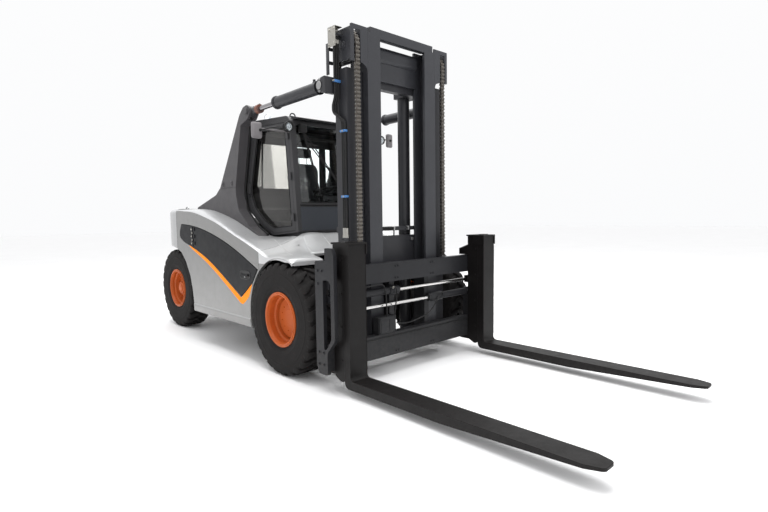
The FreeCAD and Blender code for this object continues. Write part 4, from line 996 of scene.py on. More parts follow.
for sgn, nm in ((1, "left"), (-1, "right")):
    x0, x1 = sorted((sgn * 0.60, sgn * 0.80))
    wrap_panel(x0 - 0.008, x1 + 0.008, 1.372, 1.528, 0.006, 0.008, 16, 10).make("rear_lamp_frame_" + nm, M_BLACK, "chassis", 50, "black_plastic")
    q0, q1 = sorted((sgn * 0.605, sgn * 0.795))
    wrap_panel(q0, q1, 1.452, 1.520, 0.016, 0.012, 16, 10).make("rear_lamp_stop_" + nm, M_RED, "chassis", 60, "glass")
    wrap_panel(q0, q1, 1.380, 1.446, 0.016, 0.012, 16, 10).make("rear_lamp_turn_" + nm, M_AMBER, "chassis", 60, "glass")

gr = Shape()
for k in range(7):
    z = 1.325 + 0.034 * k
    pts = [on_cw(-0.30 + 0.60 * i / 16, z)[0] + Vector((0, -0.003, 0)) for i in range(17)]
    gr.tube(pts, 0.0065, 8)
for sx in (-0.305, 0.0, 0.305):
    gr.tube([on_cw(sx, 1.300 + 0.034 * i)[0] + Vector((0, -0.002, 0)) for i in range(9)], 0.0055, 8)
gr.make("rear_grille", M_BLACK, "chassis", 40, "black_plastic")
wrap_panel(-0.330, 0.330, 1.285, 1.590, 0.0008, 0.006, 24, 12).make("rear_grille_back", M_SEAL, "chassis", 40, "black_plastic")

# lifting eyes cast into the top of the counterweight
le = Shape()
for sx in (-1, 1):
    le.tube(smooth([(sx * 0.80, 3.02 + S, 1.735), (sx * 0.80, 3.02 + S, 1.757), (sx * 0.80, 3.045 + S, 1.772),
                    (sx * 0.80, 3.075 + S, 1.772), (sx * 0.80, 3.10 + S, 1.757), (sx * 0.80, 3.10 + S, 1.735)], 6), 0.011, 10)
le.make("lifting_eyes", M_CW, "chassis", 40, "counterweight_paint")


# ------------------------------------------------------------------ lift chains
PITCH = 0.0381


def chain(pins, x0, plates, rods, seg=10, xs=41.0, crowns=None):
    """Leaf chain over a list of pin points (working y, z); plates, pins and worn crowns go to three shapes."""
    n = 8
    t = xs / 1000.0 / n
    for i in range(len(pins) - 1):
        a, b = Vector((0, *pins[i])), Vector((0, *pins[i + 1]))
        u = (b - a).normalized()
        w = Vector((0, -u.z, u.y))
        L = (b - a).length
        out = []
        for g in (90, 130, 180, 230, 270):
            out.append((a, g))
        out.append((L * 0.5, -0.0115))
        for g in (-90, -50, 0, 50, 90):
            out.append((b, g))
        out.append((L * 0.5, 0.0115))
        ring = []
        for p, g in out:
            if isinstance(p, Vector):
                q = math.radians(g)
                ring.append(p + u * (0.0165 * math.cos(q)) + w * (0.0165 * math.sin(q)))
            else:
                ring.append(a + u * p + w * g)
        m = len(ring)
        for k in range(i % 2, n, 2):
            lo, hi = x0 + k * t + 0.0002, x0 + (k + 1) * t - 0.0002
            vs = [W(lo, q.y, q.z) for q in ring] + [W(hi, q.y, q.z) for q in ring]
            fs = [tuple(range(m)), tuple(range(m, 2 * m))]
            fs += [(j, (j + 1) % m, m + (j + 1) % m, m + j) for j in range(m)]
            plates.add(vs, fs)
    for i, (y, z) in enumerate(pins):
        a = Vector((0, *pins[max(i - 1, 0)]))
        b = Vector((0, *pins[min(i + 1, len(pins) - 1)]))
        u = (b - a).normalized()
        w = Vector((0, -u.z, u.y))
        p = Vector((0, y, z))
        for e in (-1, 1):
            vs = []
            for xx in (x0 - 0.0006, x0 + xs / 1000 + 0.0006):
                for du, dw in ((-0.0082, 0.0130), (-0.0082, 0.0165), (-0.0050, 0.0182), (0.0050, 0.0182), (0.0082, 0.0165),
                               (0.0082, 0.0130)):
                    q = p + u * du + w * (dw * e)
                    vs.append(W(xx, q.y, q.z))
            crowns.add(vs, [tuple(range(6)), tuple(range(6, 12))] + [(k, (k + 1) % 6, 6 + (k + 1) % 6, 6 + k) for k in range(6)])
    for y, z in pins:
        rods.lathe([(-0.0030, 0.0050), (-0.0022, 0.0062), (xs / 1000 + 0.0022, 0.0062), (xs / 1000 + 0.0030, 0.0050)],
                   W(x0, y, z), (1, 0, 0), seg)


def line(y, z0, z1):
    n = int((z1 - z0) / PITCH)
    return [(y, z1 - PITCH * i) for i in range(n + 1)]


for sgn, nm in ((1, "left"), (-1, "right")):
    def put_chain(pins, name, mat_body, x0=0.5975, xs=50.0, squash=None):
        p, r, k = Shape(), Shape(), Shape()
        chain(pins, x0, p, r, xs=xs, crowns=k)
        for shp, mat, tag in ((p, M_PINS, "plates_"), (r, M_STEEL, "pins_"), (k, M_CHAIN, "crowns_")):
            o = (shp if sgn > 0 else shp.mirrored()).make(name + tag + nm, mat, mat_body, 40, "chain_steel")
            if squash:
                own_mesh(o)
    put_chain(line(-0.630, 1.138, 3.25), "chain_front_", "mast_inner_body", squash=-0.630)
    na = 12
    arc = [(-0.490 + 0.140 * math.cos(math.pi * i / na), 3.25 + 0.140 * math.sin(math.pi * i / na)) for i in range(na + 1)]
    put_chain(arc, "chain_arc_", "mast_inner_body")
    put_chain(line(-0.350, 1.502, 3.25), "chain_rear_", "mast_outer_body")
    put_chain(line(-0.350, 1.650, 3.22), "chain_rear_upper_", "mast_inner_body", x0=0.5990, xs=47.0)
    if sgn > 0:
        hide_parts("lift_chains")
    # anchors: clevis block, threaded rod and nuts
    a = Shape()
    a.rbox(W(0.600, -0.646, 1.096), W(0.645, -0.614, 1.150), 0.004)
    a.lathe([(0.0, 0.0105), (0.080, 0.0105)], W(0.6225, -0.630, 1.018), (0, 0, 1), 16)
    for z in (1.040, 1.058):
        a.bolt(W(0.6225, -0.630, z - 0.012), (0, 0, 1), 0.017, 0.012, washer=False)
    (a if sgn > 0 else a.mirrored()).make("chain_anchor_front_" + nm, M_STEEL, "carriage_body", 35, "steel")
    a = Shape()
    a.rbox(W(0.604, -0.366, 1.494), W(0.641, -0.334, 1.530), 0.004)
    a.lathe([(0.0, 0.0105), (0.085, 0.0105)], W(0.6225, -0.350, 1.386), (0, 0, 1), 16)
    for z in (1.392, 1.410):
        a.bolt(W(0.6225, -0.350, z - 0.006), (0, 0, 1), 0.017, 0.012, washer=False)
    (a if sgn > 0 else a.mirrored()).make("chain_anchor_rear_" + nm, M_STEEL, "mast_outer_body", 35, "steel")
    a = Shape()
    for x in (0.6835, 0.5615):
        a.lathe([(-0.002, 0.040), (0.004, 0.040), (0.006, 0.038), (0.0065, 0.018), (0.010, 0.016), (0.010, 0.0)],
                W(x, -0.490, 3.25), (1 if x > 0.6 else -1, 0, 0), 28)
    (a if sgn > 0 else a.mirrored()).make("sheave_axle_caps_" + nm, M_MASTI, "mast_inner_body", 35, "mast_paint")


# ------------------------------------------------------------------ mast hoses
hs = Shape()
HX = (-0.714, -0.738, -0.762)
for x in HX:
    hs.tube([W(x, -0.458, 2.92 + (3.335 - 2.92) * i / 40) for i in range(41)], 0.011, 14)
ho = hs.make("lift_hose_run", M_HOSE, None, 50, "hose_rubber")
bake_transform(ho)
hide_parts("lift_hoses")
cr = Shape()
for x in HX:
    cr.lathe([(0.0, 0.0135), (0.060, 0.0135), (0.062, 0.0120), (0.062, 0.0165), (0.078, 0.0165), (0.078, 0.0105)],
             W(x, -0.458, 3.262), (0, 0, 1), 16)
cr.make("hose_crimps_top", M_ZINC, "mast_inner_body", 35, "steel")
cr = Shape()
for x, y in zip(HX, (-0.500, -0.523, -0.546)):
    cr.lathe([(0.0, 0.010), (0.0, 0.0165), (0.030, 0.0165), (0.030, 0.0135), (0.095, 0.0135), (0.097, 0.011)],
             W(-0.713, y, 1.395), (0, 0, 1), 16)
cr.make("hose_crimps_low", M_ZINC, "mast_outer_body", 35, "steel")
mf = Shape()
mf.rbox(W(-0.732, -0.562, 1.335), W(-0.700, -0.484, 1.397), 0.004)
for z in (1.350, 1.382):
    mf.bolt(W(-0.732, -0.500, z), (-1, 0, 0), 0.006, 0.006, cap=True)
for y in (-0.500, -0.523, -0.546):
    mf.tube(smooth([W(-0.716, y, 1.338), W(-0.716, y, 1.20), W(-0.716, y - 0.004, 0.98), W(-0.716, y, 0.80)], 6), 0.0075, 10)
mf.make("hose_manifold", M_MAST, "mast_outer_body", 35, "mast_paint")
# spangled top bracket, its clamp and bolts
br = Shape()
br.rbox(W(-0.7845, -0.508, 3.225), W(-0.7802, -0.392, 3.415), 0.0015)
br.rbox(W(-0.7845, -0.508, 3.409), W(-0.694, -0.392, 3.4135), 0.0015)
br.rbox(W(-0.782, -0.452, 3.355), W(-0.700, -0.446, 3.410), 0.0015)
for y in (-0.490, -0.412):
    for z in (3.25, 3.385):
        br.bolt(W(-0.7845, y, z), (-1, 0, 0), 0.008, 0.006)
br.make("hose_bracket", M_ZINC, "mast_inner_body", 30, "steel")
cl = Shape()
cl.rbox(W(-0.780, -0.476, 3.300), W(-0.696, -0.440, 3.332), 0.003)
cl.make("hose_clamp_top", M_BLACK, "mast_inner_body", 35, "black_plastic")
gp = Shape()
gp.rbox(W(-0.762, -0.372, 2.985), W(-0.752, -0.328, 3.285), 0.004)
gp.rbox(W(-0.752, -0.360, 3.09), W(-0.694, -0.340, 3.12), 0.003)
gp.rbox(W(-0.752, -0.360, 3.22), W(-0.694, -0.340, 3.25), 0.003)
gp.make("hose_guard", M_MASTI, "mast_inner_body", 35, "mast_paint")
cb = Shape()
cb.rbox(W(-0.779, -0.475, 2.896), W(-0.698, -0.4425, 2.922), 0.005)
for y, z, x in ((-0.523, 2.430, -0.713), (-0.523, 1.800, -0.713)):
    cb.rbox(W(x - 0.020, y - 0.040, z - 0.011), W(x + 0.016, y + 0.040, z + 0.011), 0.005)
cb.make("hose_clamps_blue", M_BLUE, "mast_outer_body", 35, "black_plastic")
cz = Shape()
cz.rbox(W(-0.7835, -0.479, 2.901), W(-0.7788, -0.438, 2.917), 0.001)
for x, y, z in ((-0.784, -0.458, 2.909), (-0.734, -0.523, 2.43), (-0.734, -0.523, 1.80)):
    cz.bolt(W(x, y, z), (-1, 0, 0), 0.006, 0.005)
cz.make("hose_clamp_bolts", M_ZINC, "mast_outer_body", 35, "steel")

# bolts and weld beads on the mast
for sgn, nm in ((1, "left"), (-1, "right")):
    b = Shape()
    for z in (0.40, 0.62):
        b.bolt(W(0.700, -0.53, z), (1, 0, 0), 0.012, 0.009)
    for z in (2.815, 2.925):
        b.bolt(W(0.868, -0.356, z), (1, 0, 0), 0.009, 0.007)
    b.lathe([(0.0, 0.040), (0.004, 0.040), (0.006, 0.037), (0.007, 0.020), (0.0075, 0.0)], W(0.872, -0.350, 2.870), (1, 0, 0), 28)
    b.lathe([(0.0, 0.048), (0.005, 0.048), (0.008, 0.044), (0.008, 0.0)], W(0.604, -0.140, 0.420), (1, 0, 0), 28)
    (b if sgn > 0 else b.mirrored()).make("mast_bolts_" + nm, M_STEEL, "mast_outer_body", 35, "steel")
    w = Shape()
    for z0 in (1.000, 1.392, 2.925, 3.030, 0.330):
        w.tube([W(0.500, -0.451 + 0.004, z0), W(0.480, -0.4515, z0), W(0.335, -0.4515, z0)], 0.0035, 8)
    (w if sgn > 0 else w.mirrored()).make("mast_welds_" + nm, M_MAST, "mast_outer_body", 50, "mast_paint")
    w = Shape()
    w.tube([W(0.4855, -0.6385, z / 1000) for z in (2995, 3100, 3200, 3300, 3410)], 0.0035, 8)
    w.tube([W(0.5785, -0.6245, z / 1000) for z in (3112, 3200, 3300, 3398)], 0.003, 8)
    (w if sgn > 0 else w.mirrored()).make("ear_welds_" + nm, M_MASTI, "mast_inner_body", 50, "mast_paint")
    # gland nut and wiper on each lift cylinder, port fitting at the foot
    g = Shape()
    g.lathe([(0.0, 0.0405), (0.0, 0.064), (0.010, 0.064), (0.013, 0.0610), (0.013, 0.0405)], W(0.378, -0.262, 3.0495), (0, 0, 1), 40, closed=True)
    g.lathe([(0.0, 0.0685), (0.0, 0.0735), (0.030, 0.0735), (0.033, 0.0705), (0.033, 0.0685)], W(0.378, -0.262, 3.000), (0, 0, 1), 40, closed=True)
    g.rbox(W(0.360, -0.350, 0.290), W(0.396, -0.318, 0.330), 0.004)
    (g if sgn > 0 else g.mirrored()).make("lift_glands_" + nm, M_MAST, "mast_outer_body", 35, "mast_paint")
    g = Shape()
    g.lathe([(0.0, 0.052), (0.004, 0.052), (0.006, 0.050), (0.018, 0.050), (0.018, 0.0)], W(0.378, -0.262, 3.335), (0, 0, 1), 32)
    g.bolt(W(0.378, -0.262, 3.352), (0, 0, 1), 0.018, 0.012)
    (g if sgn > 0 else g.mirrored()).make("lift_rod_ends_" + nm, M_MASTI, "mast_inner_body", 35, "mast_paint")
    # tilt cylinder details: gland ring, ports, clevis bolt heads
    dy, dz = 1.070 + 0.350, 2.845 - 2.870
    L = math.hypot(dy, dz)
    u = Vector((0, dy / L, dz / L))
    o0 = W(0.815, -0.350, 2.870)
    t = Shape()
    t.lathe([(0.0, 0.0285), (0.0, 0.0700), (0.010, 0.0710), (0.020, 0.0710), (0.025, 0.0660), (0.025, 0.0290)], o0 + u * 0.8350, u, 40, closed=True)
    t.lathe([(0.0, 0.0670), (0.0, 0.0685), (0.016, 0.0685), (0.016, 0.0630)], o0 + u * 0.064, u, 40)
    for d in (0.150,):
        t.lathe([(0.0, 0.020), (0.012, 0.020), (0.014, 0.014), (0.040, 0.014), (0.042, 0.0)], o0 + u * d + Vector((0, 0, 0.055)), (0, 0, 1), 20)
    (t if sgn > 0 else t.mirrored()).make("tilt_barrel_details_" + nm, M_MAST, "tilt_barrel_%s_body" % nm, 35, "mast_paint")
    t = Shape()
    for d in (1.218, 1.248):
        t.bolt(o0 + u * d + Vector((0, 0, 0.049)), (0, 0, 1), 0.008, 0.008)
    t.lathe([(0.0, 0.030), (0.003, 0.030), (0.005, 0.027), (0.005, 0.0)], W(0.841, 1.070, 2.845), (1, 0, 0), 24)
    (t if sgn > 0 else t.mirrored()).make("tilt_rod_bolts_" + nm, M_STEEL, "tilt_rod_%s_body" % nm, 35, "steel")

# hoses and clamp loop along the guard bar
gb = Shape()
for k, z in enumerate((1.462, 1.478)):
    gb.tube(smooth([W(-0.480, -0.470 - 0.004 * k, z), W(-0.30, -0.472, z), W(0.0, -0.472, z), (0.20, -0.472, z),
                    (0.262, -0.486, z - 0.008), (0.285, -0.480, z - 0.05), (0.286, -0.470, z - 0.12)], 7), 0.0075, 10)
gb.make("guard_bar_hoses", M_HOSE, "mast_outer_body", 50, "hose_rubber")
gb = Shape()
for x in (-0.33, 0.0, 0.22):
    gb.rbox(W(x - 0.010, -0.4845, 1.450), W(x + 0.010, -0.450, 1.490), 0.003)
gb.rbox(W(0.268, -0.482, 1.330), W(0.304, -0.450, 1.366), 0.004)
gb.make("guard_bar_clamps", M_STEEL, "mast_outer_body", 35, "steel")

# ------------------------------------------------------------------ carriage and forks
PY, PU, PL = -0.738, 0.854, 0.714
cc = Shape()
cc.lathe([(0.0, 0.0200), (0.0, 0.0440), (0.006, 0.0480), (0.126, 0.0480), (0.134, 0.0440), (0.140, 0.0385), (0.140, 0.0200)],
         W(-0.355, PY, PU), (1, 0, 0), 40, closed=True)
cc.lathe([(0.0, 0.0380), (0.0, 0.0420), (0.022, 0.0420), (0.022, 0.0380)], W(-0.930, PY, PU), (1, 0, 0), 40, closed=True)
cc.lathe([(0.0, 0.0200), (0.0, 0.0440), (0.006, 0.0480), (0.190, 0.0480), (0.198, 0.0440), (0.204, 0.0385), (0.204, 0.0200)],
         W(0.466, PY, PL), (-1, 0, 0), 40, closed=True)
for x, z in ((-0.34, PU), (-0.86, PU), (0.44, PL), (0.88, PL)):
    cc.lathe([(0.0, 0.015), (0.010, 0.015), (0.012, 0.011), (0.020, 0.011), (0.020, 0.0)], W(x, PY - 0.036, z + 0.018), (0, -0.8, 0.6), 18)
cc.make("positioner_collars", M_CARR, "carriage_body", 35, "mast_paint")
ch_ = Shape()
ch_.tube(smooth([W(-0.34, -0.790, 0.882), W(-0.33, -0.806, 0.90), W(-0.30, -0.808, 0.86), W(-0.296, -0.790, 0.72), W(-0.30, -0.770, 0.60)], 8), 0.0065, 10)
ch_.tube(smooth([W(0.44, -0.790, 0.742), W(0.40, -0.806, 0.757), W(0.34, -0.800, 0.70), W(0.20, -0.790, 0.56), W(-0.10, -0.786, 0.500), W(-0.28, -0.783, 0.520)], 8), 0.0065, 10)
ch_.tube(smooth([W(-1.060, -0.786, 0.4000), W(-0.80, -0.7870, 0.3940), W(-0.45, -0.7870, 0.3960), W(-0.10, -0.7870, 0.3930), W(0.40, -0.7870, 0.3950), W(1.060, -0.786, 0.4000)], 8), 0.0060, 10)
ch_.tube(smooth([W(-0.86, -0.786, 0.885), W(-0.87, -0.800, 0.91), W(-0.80, -0.797, 0.925), W(-0.62, -0.790, 0.930), W(-0.46, -0.789, 0.915), W(-0.42, -0.786, 0.70), W(-0.42, -0.782, 0.605)], 8), 0.0065, 10)
ch_.make("carriage_hoses", M_HOSE, "carriage_body", 50, "hose_rubber")
cv = Shape()
cv.rbox(W(-0.518, -0.786, 0.436), W(-0.292, -0.774, 0.598), 0.006)
cv.rbox(W(-0.500, -0.790, 0.455), W(-0.400, -0.784, 0.575), 0.003)
cv.rbox(W(-0.385, -0.790, 0.455), W(-0.310, -0.784, 0.575), 0.003)
for x in (-0.507, -0.303):
    for z in (0.447, 0.587):
        cv.bolt(W(x, -0.7855, z), (0, -1, 0), 0.006, 0.005, cap=True)
cv.make("valve_cover", M_CARR, "carriage_body", 35, "mast_paint")
cf = Shape()
for x, z in ((-0.275, 0.575), (-0.262, 0.540), (-0.278, 0.505), (-0.255, 0.470)):
    cf.lathe([(0.0, 0.011), (0.012, 0.011), (0.012, 0.0085), (0.030, 0.0085), (0.031, 0.006)], W(x, -0.704, z), (0, -1, 0.1), 14)
for x in (-0.34, -0.86):
    cf.lathe([(0.0, 0.010), (0.012, 0.010), (0.012, 0.008), (0.026, 0.008), (0.026, 0.0)], W(x, PY - 0.050, PU + 0.029), (0, -0.8, 0.6), 14)
cf.make("carriage_fittings", M_ZINC, "carriage_body", 35, "steel")
for sgn, nm in ((1, "left"), (-1, "right")):
    b = Shape()
    for x, z in ((0.250, 0.235), (0.285, 0.235), (0.250, 0.395), (0.285, 0.395), (0.250, 0.985), (0.285, 0.985), (0.250, 1.105), (0.285, 1.105)):
        b.bolt(W(x, -0.7795, z), (0, -1, 0), 0.0095, 0.008)
    for y, z in ((-0.660, 0.260), (-0.660, 0.370), (-0.730, 0.260), (-0.730, 0.370), (-0.660, 1.000), (-0.660, 1.120), (-0.725, 1.120)):
        b.bolt(W(1.1635, y, z), (1, 0, 0), 0.011, 0.009)
    (b if sgn > 0 else b.mirrored()).make("carriage_bolts_" + nm, M_CARR, "carriage_body", 35, "mast_paint")
    # weld beads along the shank edges, bolts on its sides and a strip on top, on each fork
    f = Shape()
    x0 = 0.985
    for dx in (-0.0995, 0.0995):
        f.tube([W(x0 + dx, -1.0105, z) for z in (0.22, 0.5, 0.9, 1.25)], 0.0022, 6)
    for z in (0.32, 0.62, 0.92, 1.22):
        f.bolt(W(x0 + 0.0965, -0.896, z), (1, 0, 0), 0.008, 0.006)
        f.bolt(W(x0 - 0.0965, -0.896, z), (-1, 0, 0), 0.008, 0.006)
    f.tube([W(x0 - 0.097, -0.9305, z) for z in (0.17, 0.5, 0.9, 1.26)], 0.0035, 8)
    f.tube([W(x0 + 0.097, -0.9305, z) for z in (0.17, 0.5, 0.9, 1.26)], 0.0035, 8)
    f.rbox(W(x0 - 0.050, -0.964, 1.3755), W(x0 + 0.050, -0.900, 1.3830), 0.003)
    (f if sgn > 0 else f.mirrored()).make("fork_details_" + nm, M_FORK, "fork_%s_body" % nm, 40, "fork_steel")


# ------------------------------------------------------------------ cab
def side_x(y):
    return 0.640 + 0.08 * (y - 0.385)


def front_y(z):
    return 0.405 + (z - 1.436) * (0.508 - 0.405) / (2.690 - 1.436)


def round_poly(pts, rads, n=6):
    """Closed outline with its corners rounded by arcs."""
    out = []
    m = len(pts)
    for i in range(m):
        a, b, c = Vector(pts[i - 1]), Vector(pts[i]), Vector(pts[(i + 1) % m])
        u, v = (a - b), (c - b)
        lu, lv = u.length, v.length
        u.normalize()
        v.normalize()
        ang = math.acos(max(-1, min(1, u.dot(v))))
        if rads[i] <= 0 or ang > 3.05:
            out.append(b)
            continue
        t = min(rads[i] / math.tan(ang / 2), 0.45 * lu, 0.45 * lv)
        p, q = b + u * t, b + v * t
        for k in range(n + 1):
            s = k / n
            out.append(p * (1 - s) ** 2 + b * (2 * s * (1 - s)) + q * s * s)
    return out


def inset_poly(pts, d):
    """Outline moved inwards by d (outline given anticlockwise or clockwise)."""
    area2 = sum(pts[i][0] * pts[(i + 1) % len(pts)][1] - pts[(i + 1) % len(pts)][0] * pts[i][1] for i in range(len(pts)))
    sg = 1 if area2 > 0 else -1
    out = []
    m = len(pts)
    for i in range(m):
        a, b, c = Vector(pts[i - 1]), Vector(pts[i]), Vector(pts[(i + 1) % m])
        e1, e2 = (b - a).normalized(), (c - b).normalized()
        n1, n2 = Vector((-e1.y, e1.x)) * sg, Vector((-e2.y, e2.x)) * sg
        k = n1 + n2
        k = k / max(1e-6, 1 + n1.dot(n2))
        out.append((b + k * d)[:])
    return out


DOOR = [(0.455, 1.452), (0.872, 1.414), (1.070, 1.509), (1.285, 1.690), (1.372, 1.880), (1.372, 1.978), (1.200, 2.655),
        (1.155, 2.692), (0.575, 2.680), (0.548, 2.600)]
DOOR_R = [0.012, 0.06, 0.06, 0.12, 0.11, 0.11, 0.06, 0.04, 0.03, 0.02]


def loop_tube(poly, rads, out, r, seg=8):
    q = round_poly(poly, rads)
    pts = [W(side_x(p.x) + out, p.x, p.y) for p in q]
    dense = []
    for a, b in zip(pts, pts[1:] + pts[:1]):
        k = max(1, int((b - a).length / 0.08))
        dense += [a.lerp(b, i / k) for i in range(k)]
    dense.append(dense[0])
    s = Shape()
    s.tube(dense, r, seg, caps=False)
    return s


# rubber between the pillars and the cab, a thick black tube following the pillar's front edge
seal = [(1.215, 2.715), (1.300, 2.385), (1.394, 1.985), (1.394, 1.893), (1.340, 1.700), (1.100, 1.506), (0.945, 1.437), (0.884, 1.405)]
sl = Shape()
sl.tube(smooth([W(0.744, y + 0.004, z) for y, z in seal], 10), 0.0165, 12)
sl.tube(smooth([W(0.735, y + 0.030, z + 0.010) for y, z in seal[:-1]], 10), 0.013, 10)
both_sides(sl, "pillar_seal", M_SEAL, "chassis", 60, "hose_rubber")

for sgn, nm in ((1, "left"), (-1, "right")):
    body = "door_%s_body" % nm
    g = loop_tube(inset_poly(DOOR, 0.064), DOOR_R, -0.0035, 0.0062)
    (g if sgn > 0 else g.mirrored()).make("window_gasket_" + nm, M_SEAL, body, 60, "hose_rubber")
    g = loop_tube(inset_poly(DOOR, 0.0035), DOOR_R, -0.0045, 0.0040)
    (g if sgn > 0 else g.mirrored()).make("door_seal_" + nm, M_SEAL, body, 60, "hose_rubber")
    # grab rail behind the glass with its two mounts, pull handle and lock outside
    h = Shape()
    h.tube(smooth([W(side_x(1.16) - 0.030, 1.149, 2.560), W(side_x(1.16) - 0.070, 1.149, 2.535), W(side_x(1.16) - 0.074, 1.156, 2.45),
                   W(side_x(1.16) - 0.074, 1.180, 2.06), W(side_x(1.16) - 0.070, 1.186, 1.985), W(side_x(1.16) - 0.030, 1.188, 1.962)], 8), 0.0105, 12)
    h.rbox(W(side_x(1.20) - 0.090, 1.176, 1.930), W(side_x(1.20) - 0.050, 1.222, 1.985), 0.006)
    (h if sgn > 0 else h.mirrored()).make("grab_rail_" + nm, M_BLACK, body, 40, "black_plastic")
    h = Shape()
    h.tube(smooth([W(side_x(1.33) + 0.002, 1.331, 1.895), W(side_x(1.33) + 0.026, 1.331, 1.905), W(side_x(1.33) + 0.031, 1.331, 1.965),
                   W(side_x(1.33) + 0.026, 1.331, 2.025), W(side_x(1.33) + 0.002, 1.331, 2.035)], 8), 0.0085, 12)
    h.lathe([(0.0, 0.013), (0.006, 0.013), (0.008, 0.011), (0.008, 0.003), (0.006, 0.0)], W(side_x(1.33) - 0.002, 1.331, 1.868), (1, 0, 0), 20)
    (h if sgn > 0 else h.mirrored()).make("door_handle_" + nm, M_BLACK, body, 40, "black_plastic")
    # slim vent and louvre on the fixed side panel
    v = Shape()
    v.rbox(W(side_x(1.40) - 0.004, 1.386, 1.762), W(side_x(1.40) + 0.0022, 1.396, 1.850), 0.001)
    v.rbox(W(side_x(1.42) - 0.004, 1.404, 1.795), W(side_x(1.42) + 0.0022, 1.414, 1.880), 0.001)
    (v if sgn > 0 else v.mirrored()).make("side_vents_" + nm, M_BLACK, "chassis", 35, "black_plastic")
    b = Shape()
    for y in (1.500, 1.735):
        b.rbox(W(0.8755, y - 0.026, 2.000), W(0.8800, y + 0.026, 2.062), 0.002)
        b.bolt(W(0.880, y, 2.040), (1, 0, 0), 0.010, 0.008)
        b.bolt(W(0.880, y, 2.014), (1, 0, 0), 0.007, 0.006)
    (b if sgn > 0 else b.mirrored()).make("pillar_joint_clamps_" + nm, M_PILLAR, "chassis", 35, "pillar_paint")
    b = Shape()
    b.lathe([(0.0, 0.033), (0.004, 0.033), (0.007, 0.030), (0.007, 0.0)], W(0.8885, 1.070, 2.845), (1, 0, 0), 28)
    (b if sgn > 0 else b.mirrored()).make("pillar_pin_caps_" + nm, M_PILLAR, "chassis", 35, "pillar_paint")

# front plate under the windscreen, its upper seam, and the wiper boxes
fp = Shape()
vs, nz, nx = [], 8, 10
for layer, off in ((0, 0.0), (1, -0.0045)):
    for j in range(nz + 1):
        for i in range(nx + 1):
            z = 1.452 + (1.722 - 1.452) * j / nz
            x = -0.592 + 1.184 * i / nx
            e = 0.003 if layer and (i in (0, nx) or j in (0, nz)) else 0.0
            xx = x + (e if i == 0 else -e if i == nx else 0)
            zz = z + (e if j == 0 else -e if j == nz else 0)
            vs.append(W(xx, front_y(zz) + off + (0.0012 if e else 0), zz))
o1 = (nz + 1) * (nx + 1)
fs = []
for j in range(nz):
    for i in range(nx):
        a = j * (nx + 1) + i
        fs.append((a, a + nx + 1, a + nx + 2, a + 1))
        fs.append((o1 + a, o1 + a + 1, o1 + a + nx + 2, o1 + a + nx + 1))
loop = [i for i in range(nx + 1)] + [j * (nx + 1) + nx for j in range(1, nz + 1)] + \
       [nz * (nx + 1) + i for i in range(nx - 1, -1, -1)] + [j * (nx + 1) for j in range(nz - 1, 0, -1)]
for a, b in zip(loop, loop[1:] + loop[:1]):
    fs.append((a, b, o1 + b, o1 + a))
fp.add(vs, fs)
fp.make("cab_front_plate", M_CABF, "chassis", 30, "cab_paint")
ss = Shape()
ss.tube([W(x / 100, front_y(1.742) - 0.003, 1.742) for x in range(-59, 60, 4)], 0.0085, 8)
ss.tube([W(x / 100, front_y(1.768) - 0.001, 1.770) for x in range(-57, 58, 4)], 0.0045, 8)
ss.make("windscreen_lower_seal", M_SEAL, "chassis", 60, "hose_rubber")
wp = Shape()


def on_ws(x, z, off=0.030):
    return W(x, front_y(z) - off, z)


for a, b in (((-0.499, 2.593), (-0.328, 1.925)), ((-0.433, 2.439), (0.059, 1.879)), ((-0.473, 2.539), (0.020, 1.935))):
    wp.tube([on_ws(*a), on_ws((a[0] + b[0]) / 2, (a[1] + b[1]) / 2, 0.034), on_ws(*b, 0.020)], 0.0075, 8)
wp.tube([on_ws(-0.480, 2.440, 0.032), on_ws(-0.320, 2.425, 0.032)], 0.006, 8)
for a, b in (((-0.506, 2.62), (-0.310, 1.86)), ((-0.06, 2.10), (0.16, 1.80))):
    p, q = on_ws(*a, 0.010), on_ws(*b, 0.010)
    wp.tube([p, q], 0.0055, 6)
    wp.tube([p.lerp(q, .1) + Vector((0, 0.006, 0)), p.lerp(q, .9) + Vector((0, 0.006, 0))], 0.0035, 6)
wp.rbox(on_ws(-0.545, 2.560, 0.045), on_ws(-0.455, 2.660, -0.002) + Vector((0, 0.004, 0)), 0.010)
wp.rbox(on_ws(0.020, 1.800, 0.040), on_ws(0.100, 1.880, 0.0) + Vector((0, 0.004, 0)), 0.010)
for x, z in ((-0.499, 2.593), (0.059, 1.879), (-0.328, 1.925)):
    wp.lathe([(0.0, 0.016), (0.016, 0.016), (0.020, 0.012), (0.020, 0.0)], on_ws(x, z, 0.024), (0, -1, 0), 20)
wp.make("wipers", M_BLACK, "chassis", 40, "black_plastic")

# roof: lifting eye, gutter lip, beacon
rf = Shape()
rf.tube(smooth([W(-0.585, 0.600, 2.742), W(-0.585, 0.600, 2.762), W(-0.568, 0.600, 2.784), W(-0.535, 0.600, 2.784), W(-0.518, 0.600, 2.762),
                W(-0.518, 0.600, 2.742)], 6), 0.0075, 10)
rf.tube(smooth([W(0.585, 0.600, 2.742), W(0.585, 0.600, 2.762), W(0.568, 0.600, 2.784), W(0.535, 0.600, 2.784), W(0.518, 0.600, 2.762),
                W(0.518, 0.600, 2.742)], 6), 0.0075, 10)
rf.make("roof_lifting_eyes", M_BLACK, "chassis", 50, "cab_paint")
rs = Shape()
q = [(-0.452, 0.628), (0.452, 0.628), (0.452, 1.032), (-0.452, 1.032)]
T_ROOF = bvh("cab_roof")


def roof_z(x, y):
    h = T_ROOF.ray_cast(Vector((x, y + S, 3.2)), Vector((0, 0, -1)))
    return h[0].z if h[0] is not None else 2.75


